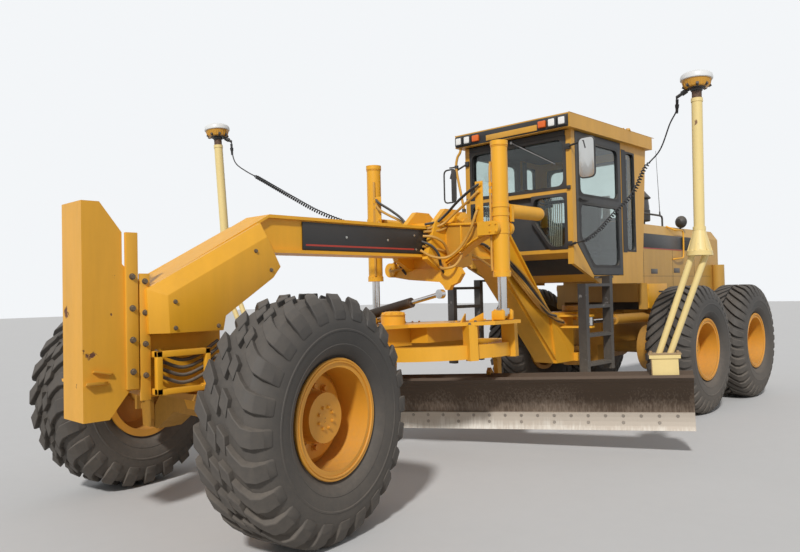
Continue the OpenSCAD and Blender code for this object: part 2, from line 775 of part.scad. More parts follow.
// Band of the blade's curve between two radii, from step i0 down to step i1
module blade_arc(r0, r1, i0, i1) {
    step = (edge_a - top_a) / arc_steps;
    polygon(concat(
        [for (i = [i0 : i1]) blade_c + r0 * [cos(top_a + i * step), sin(top_a + i * step)]],
        [for (i = [i1 : -1 : i0]) blade_c + r1 * [cos(top_a + i * step), sin(top_a + i * step)]]
    ));
}
module along_blade() {
    on_tip() translate([0, blade_shift + blade_l / 2, 0]) rotate([90, 0, 0]) linear_extrude(blade_l)
        children();
}
module moldboard() {
    color(steel) {
        along_blade() blade_arc(face_r, face_r + blade_t, 0, arc_steps - 1);
        along_blade() for (z = rail_z)
            translate([rail_x, z])
                square([
                    blade_c[0] - face_r * cos(asin((z + rail_h - blade_c[1]) / face_r)) - rail_x - blade_t / 2, rail_h
                ]);
    }
}
module cutting_edge() {
    color(bright) along_blade() blade_arc(face_r - edge_t - fit, face_r - fit, arc_steps - 4, arc_steps);
}

// Masts of the grade control, one at each end of the blade, that lean a little outwards
mast_x = 45;
mast_s = 2310;
mast_lean = 2.5;
cone_z = 1675;
foot_s = 1975;
foot_z = 840;
// Height of the left and the right tube over their cones
mast_tops = [mast_top - cone_z - 175, mast_top - cone_z];
module on_mast(i) {
    on_circle() translate([0, blade_shift, 0]) scale([1, 1 - 2 * i, 1])
        translate([mast_x, mast_s, cone_z]) rotate([-mast_lean, 0, 0]) children();
}
// Middle of a receiver's body
receiver_mid = 125;
function receiver_point(i) = let (
        h = mast_tops[i] + receiver_mid, y = mast_s + h * sin(mast_lean), z = cone_z + h * cos(mast_lean),
        s = blade_shift + (1 - 2 * i) * y
    ) drawbar_point([
        circle_x + mast_x * cos(blade_yaw) - s * sin(blade_yaw),
            mast_x * sin(blade_yaw) + s * cos(blade_yaw), z
    ]);
module masts() {
    color(cream) for (i = [0, 1]) {
        on_mast(i) {
            cylinder(r = 102, h = 26);
            cylinder(r1 = 98, r2 = mast_d / 2 + 4, h = 210);
            cylinder(d = mast_d, h = mast_tops[i]);
        }
        on_circle() translate([0, blade_shift, 0]) scale([1, 1 - 2 * i, 1]) {
            block([mast_x - 75, foot_s - 120, foot_z - 30], [mast_x + 95, foot_s + 130, foot_z]);
            for (y = [-45, 45]) rod([mast_x, foot_s + y, foot_z - 10],
                [mast_x, mast_s + y * 1.2, cone_z + 14], 52);
        }
        // Bracket that sits on the blade's back
        difference() {
            on_circle() translate([0, blade_shift, 0]) scale([1, 1 - 2 * i, 1])
                block([mast_x - 35, foot_s - 100, foot_z - 210], [mast_x + 85, foot_s + 110, foot_z - 29]);
            along_blade() {
                blade_arc(face_r - 80, face_r + blade_t + fit, -1, arc_steps - 4);
                translate([rail_x - fit, rail_z[1] - fit]) square([150, rail_h + 2 * fit]);
            }
        }
    }
}
// Receivers: neck, body and dome, with a plug that meets its cable
module receivers() {
    color("white") for (i = [0, 1]) {
        on_mast(i) translate([0, 0, mast_tops[i] + fit]) {
            cylinder(r = 38, h = 90);
            translate([0, 0, 88]) cylinder(r1 = 98, r2 = 124, h = 82);
            translate([0, 0, 169]) cylinder(r1 = 132, r2 = 124, h = 24);
            translate([0, 0, 192]) cylinder(r1 = 124, r2 = 70, h = 36);
        }
        cable = i == 0 ? left_cable : right_cable;
        plug_end = past(cable[0], cable[1], plug_l);
        rod(receiver_point(i), plug_end, plug_d);
        rod(plug_end, past(cable[0], cable[1], fit), plug_d);
    }
}

// Rear frame with hitch, rails, axle and tail
hitch_pin_r = 40;
rail_y = 330;
rail_w = 110;
tail_x = front_x - 8500;
tow_z = 900;
tow_r = 26;
tail_t = 201;
module rear_frame() {
    color(yellow) {
        // Hitch forks and pin
        for (z = [hitch_low - run - 60, hitch_low + 90 + run, hitch_top - 90 - run - 60, hitch_top + run])
            translate([0, 0, z]) linear_extrude(60) union() {
                translate([hitch_x, 0]) circle(110);
                translate([hitch_x - 260, -110]) square([260, 220]);
            }
        translate([hitch_x, 0, hitch_low - run - 60])
            cylinder(r = hitch_pin_r, h = hitch_top - hitch_low + 2 * run + 120);
        block([hitch_x - 420, -200, hitch_low - run - 60], [hitch_x - 240, 200, hitch_top + run + 60]);
        // Rails
        both_sides() {
            side_plate([
                [hitch_x - 240, 800], [hitch_x - 240, 1180], [tail_x + 150, 1180], [tail_x + 150, 800]
            ], 150, rail_w);
            block([hitch_x - 960, 150, artic_z + 45 + fit], [hitch_x - 840, 620, artic_z + 90]);
        }
        for (x = [rear_front_x, rear_x - 200, tail_x + 400]) block([x, -160, 850], [x + 180, 160, 1150]);
        // Axle housing between the tandem cases
        rod([rear_x, fit - case_y, axle_z + 40], [rear_x, case_y - fit, axle_z + 40], 380);
        // Tail plate, which also holds the hood's end
        block([tail_x + 140, -450, 620], [tail_x + tail_t, 450, hood_low + 40]);
        // Tow clevis with its bore
        difference() {
            for (z = [tow_z - 75, tow_z + 45]) translate([0, 0, z]) linear_extrude(30) polygon([
                [tail_x + 141, -110], [tail_x + 60, -60], [tail_x, -40], [tail_x, 40], [tail_x + 60, 60],
                [tail_x + 141, 110]
            ]);
            translate([tail_x + 60, 0, tow_z - 100]) cylinder(r = tow_r, h = 200);
        }
    }
}

case_y = 570;
case_w = 220;
module tandem_cases() {
    color(yellow) both_sides() {
        side_plate([
            [rear_front_x, axle_z - 270], [rear_front_x, axle_z + 270], [rear_x, axle_z + 320],
            [rear_back_x, axle_z + 270], [rear_back_x, axle_z - 270], [rear_x, axle_z - 290]
        ], case_y, case_w);
        for (x = [rear_front_x, rear_back_x]) translate([x, case_y, axle_z]) rotate([-90, 0, 0])
            cylinder(r = 270, h = case_w);
        for (x = [rear_front_x, rear_back_x]) translate([x, case_y + case_w - 1, axle_z]) rotate([-90, 0, 0])
            cylinder(r = rear_hub_r, h = 330);
    }
}

module engine_block() {
    color("dimgray") block([tail_x + 1100, -330, 1180 + fit], [tail_x + 2500, 330, 2000]);
}

cab_front = front_x - 3850;
cab_back = cab_front - cab_l;
cab_eave = 230;
hood_x0 = tail_x + tail_t + fit;
hood_x1 = cab_back - cab_eave;
hood_t = 20;
side_box = [[hood_x1 - 590, artic_z + 100], [hood_x1 - 20, hood_low + 230]];
canister = [tail_x + 400, 1410, 1785];
canister_r = 82;
louvre_x = tail_x + 860;
module hood() {
    color(yellow) {
        hood_shell();
        both_sides() {
            // Box under the cab's rear corner
            block([side_box[0][0], hood_w / 2 - 1, side_box[0][1]],
                [side_box[1][0], hood_w / 2 + 110, side_box[1][1]]);
            // Canister at the tail
            translate([canister[0], hood_w / 2 + canister_r - 8, canister[1]])
                cylinder(r = canister_r, h = canister[2] - canister[1]);
            // Louvres
            for (z = [hood_top - 320 : 42 : hood_top - 160])
                block([louvre_x, hood_w / 2 - 1, z], [louvre_x + 260, hood_w / 2 + 14, z + 16]);
        }
    }
}
module hood_shell() {
    difference() {
        cross_plate([
            [-hood_w / 2, hood_low], [-hood_w / 2, hood_top - 130], [-hood_w / 2 + 90, hood_top],
            [hood_w / 2 - 90, hood_top], [hood_w / 2, hood_top - 130], [hood_w / 2, hood_low]
        ], hood_x0, hood_x1 - hood_x0);
        cross_plate([
            [-hood_w / 2 + hood_t, hood_low - 1], [-hood_w / 2 + hood_t, hood_top - 130],
            [-hood_w / 2 + 100, hood_top - hood_t], [hood_w / 2 - 100, hood_top - hood_t],
            [hood_w / 2 - hood_t, hood_top - 130], [hood_w / 2 - hood_t, hood_low - 1]
        ], hood_x0 + hood_t, hood_x1 - hood_x0 - 2 * hood_t);
    }
}

stack_x = hood_x1 - 1260;
module engine_stacks() {
    color(black) {
        translate([stack_x, 0, hood_top + fit]) cylinder(r = 50, h = 130);
        translate([stack_x, 0, hood_top + 120]) cylinder(r = 120, h = 330);
        translate([stack_x, 0, hood_top + 440]) cylinder(r1 = 130, r2 = 60, h = 100);
        translate([stack_x + 450, -300, hood_top + fit]) cylinder(r = 55, h = 470);
    }
}

// Cab
cab_wall = 40;
cab_roof_z = cab_top - 150;
mirror_arm_z = cab_roof_z - 180;
// Heights of the front bar, the windows beside and behind the seat, and the door's crossbar
cab_bar_z = cab_floor + 920;
cab_bar_t = 50;
side_window_z = cab_floor + 340;
rear_window_z = cab_floor + 740;
door_bar_z = cab_floor + 830;
door_bar_t = 70;
door_x0 = cab_front - 1080;
sill_z = cab_floor + 60;
nose_low = cab_floor + 300;
door_gap = 8;
door_x1 = cab_front - post - door_gap;
door_cut = 330;
door_t = 34;
// Hinge pins of a door, up from the sill and down from the roof
hinge_x = door_x0 + 30;
hinge_r = 8;
hinge_h = 28;
module hinge_pins(r, h) {
    for (z = [sill_z - 1, cab_roof_z - door_gap - h]) translate([hinge_x, cab_w / 2 - door_t / 2, z])
        cylinder(r = r, h = h + door_gap + 1);
}
module cab_shell() {
    y = cab_w / 2;
    color(yellow) {
        // Floor with the toe board over the front frame
        side_plate([
            [cab_front, nose_low], [cab_front, nose_low + 40], [cab_front - 520, cab_floor + 40],
            [cab_back, cab_floor + 40], [cab_back, cab_floor], [cab_front - 540, cab_floor]
        ], -y + cab_wall - 1, cab_w - 2 * cab_wall + 2);
        both_sides() {
            // Posts
            block([cab_front - post, y - post, nose_low - 120], [cab_front, y, cab_roof_z]);
            block([door_x0 - post, y - 60, cab_floor], [door_x0, y, cab_roof_z]);
            // Sill under the door
            side_plate([
                [cab_front - 1, nose_low + 88], [cab_front - 1, nose_low - 120],
                [cab_front - 540, cab_floor - 30], [cab_back, cab_floor - 30], [cab_back, sill_z],
                [door_x1 - door_cut + 4, sill_z], [door_x1 + 4, nose_low + 92]
            ], y - cab_wall, cab_wall);
            // Wall behind the door with its window
            difference() {
                side_plate([
                    [door_x0 - post + 1, sill_z - 1], [door_x0 - post + 1, cab_roof_z],
                    [cab_back - 160, cab_roof_z], [cab_back, sill_z - 1]
                ], y - cab_wall, cab_wall);
                block([door_x0 - 330, y - 100, side_window_z],
                    [door_x0 - post - 30, y + 100, cab_roof_z - 90]);
            }
        }
        both_sides() hinge_pins(hinge_r, hinge_h);
        // Rear wall
        difference() {
            block([cab_back, -y + 30, cab_floor], [cab_back + cab_wall, y - 30, cab_roof_z]);
            block([cab_back - 50, -y + 150, rear_window_z], [cab_back + 100, y - 150, cab_roof_z - 120]);
        }
        // Front frame bars
        block([cab_front - post, -y + 30, cab_bar_z], [cab_front, y - 30, cab_bar_z + cab_bar_t]);
        block([cab_front - post, -y + 30, cab_roof_z - 60], [cab_front, y - 30, cab_roof_z]);
        // Roof
        difference() {
            block([cab_back - cab_eave, -y - 55, cab_roof_z], [cab_front + 110, y + 55, cab_top]);
            block([cab_back - 200, -y + 20, cab_roof_z - 1], [cab_front + 40, y - 20, cab_top - 40]);
        }
    }
}

glass_t = 8;
module cab_glass() {
    y = cab_w / 2;
    color(clear) {
        block([cab_front - 40, -y + post + fit, cab_bar_z + cab_bar_t + fit],
            [cab_front - 40 + glass_t, y - post - fit, cab_roof_z - 60 - fit]);
        for (s = [-1, 1]) scale([1, s, 1]) cross_plate([
            [200, cab_bar_z - fit], [y - post - fit, cab_bar_z - fit],
            [y - post - fit, nose_low + 40 + fit], [420, nose_low + 40 + fit],
            [200, cab_bar_z - 280]
        ], cab_front - 40, glass_t);
        both_sides() block([door_x0 - 330 + fit, y - 26, side_window_z + fit],
            [door_x0 - post - 30 - fit, y - 26 + glass_t, cab_roof_z - 90 - fit]);
        block([cab_back + 16, -y + 150 + fit, rear_window_z + fit],
            [cab_back + 16 + glass_t, y - 150 - fit, cab_roof_z - 120 - fit]);
    }
}

module door() {
    y = cab_w / 2;
    x0 = door_x0 + door_gap;
    color(black) difference() {
        side_plate([
            [door_x1, nose_low + 100], [door_x1, cab_roof_z - door_gap], [x0, cab_roof_z - door_gap],
            [x0, sill_z + door_gap], [door_x1 - door_cut, sill_z + door_gap]
        ], y - door_t, door_t);
        hinge_pins(hinge_r + fit, hinge_h + fit);
        block([x0 + 60, y - 60, door_bar_z + door_bar_t], [door_x1 - 60, y + 60, cab_roof_z - 90]);
        side_plate([
            [door_x1 - 60, nose_low + 150], [door_x1 - 60, door_bar_z], [x0 + 60, door_bar_z],
            [x0 + 60, sill_z + 90],
            [door_x1 - door_cut, sill_z + 90]
        ], y - 60, 120);
    }
}
module door_glass() {
    y = cab_w / 2;
    x0 = door_x0 + door_gap;
    color(clear) {
        block([x0 + 60 + fit, y - 22, door_bar_z + door_bar_t + fit],
            [door_x1 - 60 - fit, y - 22 + glass_t, cab_roof_z - 90 - fit]);
        side_plate([
            [door_x1 - 60 - fit, nose_low + 151], [door_x1 - 60 - fit, door_bar_z - fit],
            [x0 + 60 + fit, door_bar_z - fit],
            [x0 + 60 + fit, sill_z + 90 + fit], [door_x1 - door_cut, sill_z + 90 + fit]
        ], y - 22, glass_t);
    }
}

module seat() {
    color(black) {
        block([cab_back + 180, -180, cab_floor + 40 + fit], [cab_back + 480, 180, cab_floor + 330]);
        block([cab_back + 130, -250, cab_floor + 329], [cab_back + 620, 250, cab_floor + 450]);
        side_plate([
            [cab_back + 130, cab_floor + 449], [cab_back + 60, cab_floor + 1050],
            [cab_back + 160, cab_floor + 1060], [cab_back + 250, cab_floor + 449]
        ], -240, 480);
    }
}
// Height of the toe board at a distance behind the cab's front
function toe_z(behind) = nose_low + 40 - behind / 520 * (nose_low - cab_floor);
module control_console() {
    color(black) {
        side_plate([
            [cab_front - 120, toe_z(120) + fit], [cab_front - 100, 2440], [cab_front - 330, 2500],
            [cab_front - 300, 1930], [cab_front - 300, toe_z(300) + fit]
        ], -110, 220);
        translate([cab_front - 300, 0, 2480]) rotate([0, -35, 0]) cylinder(r = 190, h = 26);
    }
}

ladder_y = 790;
module ladders() {
    color(black) both_sides() {
        for (x = [cab_front + 110, cab_front - 390])
            block([x - 30, ladder_y + 20, 640], [x + 30, ladder_y + 110, 1530]);
        for (z = [700, 990, 1280])
            block([cab_front - 361, ladder_y + 20, z], [cab_front + 81, ladder_y + 110, z + 30]);
        block([cab_front - 420, ladder_y + 20, 1500], [cab_front + 140, ladder_y + 110, 1530]);
        block([cab_front - 420, ladder_y + 20, 1529], [cab_front - 360, ladder_y + 110, 1612]);
        block([cab_front - 540, cab_w / 2 + fit, 1588], [cab_front - 400, ladder_y + 60, 1612]);
    }
}
module cab_fittings() {
    color(black) {
        // Mirrors
        translate([cab_front + 60, cab_w / 2 + 210, mirror_arm_z - 155]) cube([26, 190, 420], center = true);
        block([cab_front + fit, cab_w / 2 - 60, mirror_arm_z - 30],
            [cab_front + 24, cab_w / 2 - 10, mirror_arm_z + 30]);
        rod([cab_front + 14, cab_w / 2 - 30, mirror_arm_z],
            [cab_front + 60, cab_w / 2 + 180, mirror_arm_z + 20], 24);
        translate([cab_front + 110, -cab_w / 2 - 150, mirror_arm_z - 245])
            cube([26, 190, 400], center = true);
        block([cab_front + fit, -cab_w / 2 + 10, mirror_arm_z - 30],
            [cab_front + 24, -cab_w / 2 + 60, mirror_arm_z + 30]);
        rod([cab_front + 14, -cab_w / 2 + 30, mirror_arm_z],
            [cab_front + 110, -cab_w / 2 - 120, mirror_arm_z - 100], 24);
        // Socket of the left cable on the front post
        block([cab_front + fit, cab_w / 2 - 60, 1925], [cab_front + 24, cab_w / 2 - 10, 1975]);
        socket(left_cable, plug_l);
        // Hand rails on the hood
        both_sides() {
            rod([hood_x1 - 100, hood_w / 2 - 150, hood_top + fit],
                [hood_x1 - 100, hood_w / 2 - 150, hood_top + 160], 26);
            rod([hood_x1 - 1100, hood_w / 2 - 150, hood_top + fit],
                [hood_x1 - 1100, hood_w / 2 - 150, hood_top + 160], 26);
            rod([hood_x1 - 1110, hood_w / 2 - 150, hood_top + 150],
                [hood_x1 - 90, hood_w / 2 - 150, hood_top + 150], 26);
        }
    }
}
module work_lamps() {
    x = cab_front + 110 + fit;
    color("white") for (s = [-1, 1], y = [560, 680]) translate([x, s * y - 50, cab_roof_z + 20])
        cube([40, 100, 100]);
    color("orange") for (s = [-1, 1]) translate([x, s * 440 - 45, cab_roof_z + 35]) cube([34, 90, 70]);
}

// Articulation cylinders beside the hitch
artic_a = [artic_front, artic_front_y, artic_z];
artic_b = [hitch_x - 900, 560, artic_z];
artic_u = (artic_a - artic_b) / norm(artic_a - artic_b);
artic_bore = 56;
module artic_barrel() {
    color(yellow) difference() {
        union() {
            rod(artic_b + 30 * artic_u, artic_b + 90 * artic_u, 70);
            rod(artic_b + 89 * artic_u, artic_b + 760 * artic_u, 120);
            translate(artic_b - [0, 0, 45]) cylinder(r = 55, h = 90);
        }
        rod(artic_b + 120 * artic_u, artic_b + 800 * artic_u, artic_bore + 2 * fit);
    }
}
module artic_rod() {
    color(bright) {
        rod(artic_b + 460 * artic_u, artic_a - 40 * artic_u, artic_bore);
        translate(artic_a - [0, 0, 45]) cylinder(r = 50, h = 90);
    }
}

// Tube along points, with a ring of flat sides at each
module tube(points, d, sides = 8) {
    n = len(points);
    dirs = [for (i = [0 : n - 1]) let (v = points[min(i + 1, n - 1)] - points[max(i - 1, 0)]) v / norm(v)];
    rings = [for (i = [0 : n - 1], k = [0 : sides - 1])
        let (a = cross(dirs[i], [0, 0, 1]), side = a / norm(a), up = cross(side, dirs[i]),
            t = 360 * k / sides)
            points[i] + d / 2 * (cos(t) * side + sin(t) * up)];
    faces = concat(
        [[for (k = [sides - 1 : -1 : 0]) k]],
        [for (i = [0 : n - 2], k = [0 : sides - 1]) let (k2 = (k + 1) % sides)
            [i * sides + k, i * sides + k2, (i + 1) * sides + k2, (i + 1) * sides + k]],
        [[for (k = [0 : sides - 1]) (n - 1) * sides + k]]
    );
    polyhedron(points = rings, faces = faces);
}
module receiver_cords() {
    color(black) {
        tube(left_cable, cable_d);
        tube(right_cable, cable_d);
    }
}

rear_frame();
tandem_cases();
engine_block();
hood();
engine_stacks();
cab_shell();
cab_glass();
seat();
control_console();
ladders();
cab_fittings();
work_lamps();
door();  // door_left
right_side() door();  // door_right
door_glass();  // door_glass_left
right_side() door_glass();  // door_glass_right
front_frame();
beam_panels();
push_block();
lift_saddle();
front_axle();
lean_yoke();  // lean_yoke_left
right_side() lean_yoke();  // lean_yoke_right
lean_bar();
on_king(1) knuckle(9);  // knuckle_left
on_king(-1) right_side() knuckle(tie_half);  // knuckle_right
translate(tie_shift) tie_ball();
translate(tie_shift) tie_rod();
on_king(1) front_wheel_place() rim(front_disc_y, 150, front_hub_out, spindle_r + fit);  // front_rim_left
on_king(-1) right_side() front_wheel_place() rim(front_disc_y, 150, front_hub_out, spindle_r + fit);  // front_rim_right
rear_wheel_place(rear_front_x)  // rear_rim_fl
    rim(rear_disc_y, 160, rear_hub_out, rear_hub_r + fit);
right_side() rear_wheel_place(rear_front_x) rim(rear_disc_y, 160, rear_hub_out, rear_hub_r + fit);  // rear_rim_fr
rear_wheel_place(rear_back_x)  // rear_rim_rl
    rim(rear_disc_y, 160, rear_hub_out, rear_hub_r + fit);
right_side() rear_wheel_place(rear_back_x) rim(rear_disc_y, 160, rear_hub_out, rear_hub_r + fit);  // rear_rim_rr
on_king(1) front_wheel_place() tyre();  // front_tyre_left
on_king(-1) right_side() front_wheel_place() tyre();  // front_tyre_right
rear_wheel_place(rear_front_x) tyre();  // rear_tyre_fl
right_side() rear_wheel_place(rear_front_x) tyre();  // rear_tyre_fr
rear_wheel_place(rear_back_x) tyre();  // rear_tyre_rl
right_side() rear_wheel_place(rear_back_x) tyre();  // rear_tyre_rr
drawbar_ball();
drawbar_socket();
drawbar();
circle_gear();  // circle
tip_frame();
moldboard();
cutting_edge();
masts();
receivers();
lift_barrel();  // lift_barrel_left
right_side() lift_barrel();  // lift_barrel_right
lift_rod(1);  // lift_rod_left
right_side() lift_rod(-1);  // lift_rod_right
shift_barrel();
shift_rod();
artic_barrel();  // artic_barrel_left
right_side() artic_barrel();  // artic_barrel_right
artic_rod();  // artic_rod_left
right_side() artic_rod();  // artic_rod_right
receiver_cords();
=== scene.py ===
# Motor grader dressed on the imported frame. Lengths are in metres, in the frame's own axes:
# x forward, y to the machine's left, z up, with the ground at z = 0.
import json
import math

import bmesh
import bpy
from mathutils import Matrix, Vector


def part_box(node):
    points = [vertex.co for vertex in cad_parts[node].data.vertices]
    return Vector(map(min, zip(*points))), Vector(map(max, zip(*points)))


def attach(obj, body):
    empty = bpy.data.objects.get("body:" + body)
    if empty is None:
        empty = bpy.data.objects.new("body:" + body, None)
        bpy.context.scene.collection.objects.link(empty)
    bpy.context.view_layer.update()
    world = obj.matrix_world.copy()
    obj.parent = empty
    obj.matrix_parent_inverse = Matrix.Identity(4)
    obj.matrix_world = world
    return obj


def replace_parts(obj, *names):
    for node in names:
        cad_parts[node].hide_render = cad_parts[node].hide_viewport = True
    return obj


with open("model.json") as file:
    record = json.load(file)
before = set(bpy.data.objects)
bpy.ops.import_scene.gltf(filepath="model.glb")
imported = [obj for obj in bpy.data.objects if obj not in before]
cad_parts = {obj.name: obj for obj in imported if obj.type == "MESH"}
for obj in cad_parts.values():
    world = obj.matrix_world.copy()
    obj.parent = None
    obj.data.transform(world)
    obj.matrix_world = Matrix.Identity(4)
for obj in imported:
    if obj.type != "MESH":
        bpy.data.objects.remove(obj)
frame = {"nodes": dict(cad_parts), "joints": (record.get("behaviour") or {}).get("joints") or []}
nodes = frame["nodes"]
spins = {joint["child"]: joint for joint in frame["joints"]}
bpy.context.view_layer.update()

# Camera: a hand-held shot from ahead of the machine's left front wheel, at eye height,
# found by fitting the wheel axles, the beam and the cab posts.
camera_place = (6.464, 4.517, 1.485)
camera_yaw, camera_pitch, camera_roll = (math.radians(a) for a in (224.087, 1.296, -1.246))
ahead = Vector((
    math.cos(camera_yaw) * math.cos(camera_pitch),
    math.sin(camera_yaw) * math.cos(camera_pitch),
    math.sin(camera_pitch),
))
level = ahead.cross(Vector((0, 0, 1))).normalized()
above = level.cross(ahead)
right = level * math.cos(camera_roll) + above * math.sin(camera_roll)
top = above * math.cos(camera_roll) - level * math.sin(camera_roll)
camera_data = bpy.data.cameras.new("camera")
camera_data.sensor_width = 36
camera_data.lens = 32.05
camera = bpy.data.objects.new("camera", camera_data)
camera.matrix_world = (
    Matrix.Translation(camera_place) @ Matrix((right, top, -ahead)).transposed().to_4x4()
)
bpy.context.scene.collection.objects.link(camera)
bpy.context.scene.camera = camera

# Receiver cables: a thin black lead leaves each receiver, passes a pair of joined plugs, and
# turns into a curly cord that hangs over to the cab post or the saddle. PVC sheath on a spiral core.
lead_wire = 0.0125
curl_radius = 0.0155
curl_pitch = 0.029
curl_step = 0.0015
curl_ramp = 0.05
curl_end = 0.10
straight_step = 0.02
left_route = [
    (0.360, 1.990, 3.120), (0.320, 1.970, 3.020), (0.280, 1.890, 2.920), (0.250, 1.780, 2.710),
    (0.220, 1.620, 2.570), (0.180, 1.480, 2.360), (0.120, 1.260, 2.200), (0.070, 1.060, 2.050),
    (0.030, 0.900, 1.970), (-0.030, 0.740, 1.950),
]
right_route = [
    (2.230, -2.060, 3.140), (2.230, -2.050, 3.020), (2.220, -2.000, 2.900), (2.200, -1.850, 2.800),
    (2.170, -1.600, 2.675), (2.100, -1.200, 2.460), (2.000, -0.850, 2.270), (1.840, -0.520, 2.130),
    (1.600, -0.320, 2.060),
]


def eased_route(route, per_span=40):
    """Points of a smooth line through the route's points."""
    ends = [Vector(p) for p in route]
    ends = [2 * ends[0] - ends[1]] + ends + [2 * ends[-1] - ends[-2]]
    line = []
    for a, b, c, d in zip(ends, ends[1:], ends[2:], ends[3:]):
        for step in range(per_span):
            t = step / per_span
            line.append(0.5 * (
                2 * b + (c - a) * t + (2 * a - 5 * b + 4 * c - d) * t * t
                + (3 * b - 3 * c + d - a) * t ** 3
            ))
    return line + [ends[-2]]


def curled(line, straight_to, straight_from):
    """The line, wound into a curl between two distances along it, with an eased start and end."""
    points, gone, turn, since = [], 0.0, 0.0, 0.0
    for a, b in zip(line, line[1:]):
        along = b - a
        side = along.cross(Vector((0, 0, 1))).normalized()
        over = side.cross(along).normalized()
        steps = max(1, math.ceil(along.length / curl_step))
        for step in range(steps):
            gone += along.length / steps
            ramp = min(1, max(0, min(gone - straight_to, straight_from - gone) / curl_ramp))
            turn += math.tau * along.length / steps / curl_pitch
            since += along.length / steps
            if since < (curl_step if ramp > 0 else straight_step):
                continue
            since = 0.0
            points.append(
                a.lerp(b, (step + 1) / steps)
                + curl_radius * ramp * (math.cos(turn) * side + math.sin(turn) * over)
            )
    if (points[-1] - line[-1]).length < straight_step / 2:
        points.pop()
    return [line[0]] + points + [line[-1]]


def tube_curve(name, points, radius, sides=3):
    """A curve of one open spline with a round section."""
    data = bpy.data.curves.new(name, "CURVE")
    data.dimensions = "3D"
    data.bevel_depth = radius
    data.bevel_resolution = sides
    data.use_fill_caps = True
    spline = data.splines.new("POLY")
    spline.points.add(len(points) - 1)
    for place, point in zip(spline.points, points):
        place.co = (*point, 1)
        place.radius = 1
    spline.use_smooth = True
    made = bpy.data.objects.new(name, data)
    bpy.context.scene.collection.objects.link(made)
    return made


def piece(name, mesh, material, body, smooth=30):
    """Makes a finished bmesh into an object that rides on a body, with edges sharp past an angle."""
    mesh.normal_update()
    for face in mesh.faces:
        face.smooth = smooth > 0
    for edge in mesh.edges:
        edge.smooth = len(edge.link_faces) == 2 and edge.calc_face_angle(4) < math.radians(smooth)
    data = bpy.data.meshes.new(name)
    mesh.to_mesh(data)
    mesh.free()
    made = bpy.data.objects.new(name, data)
    bpy.context.scene.collection.objects.link(made)
    data.materials.append(material)
    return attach(made, body)


def revolve(mesh, profile, turns=96, closed=False):
    """Spins a profile of (along the axle, radius) points round the Y axis."""
    ring = [mesh.verts.new((0, y, r)) for y, r in profile]
    pairs = list(zip(ring, ring[1:])) + ([(ring[-1], ring[0])] if closed else [])
    edges = [mesh.edges.new(pair) for pair in pairs]
    bmesh.ops.spin(
        mesh, geom=ring + edges, cent=(0, 0, 0), axis=(0, 1, 0), dvec=(0, 0, 0),
        angle=math.tau, steps=turns, use_merge=True, use_duplicate=False,
    )


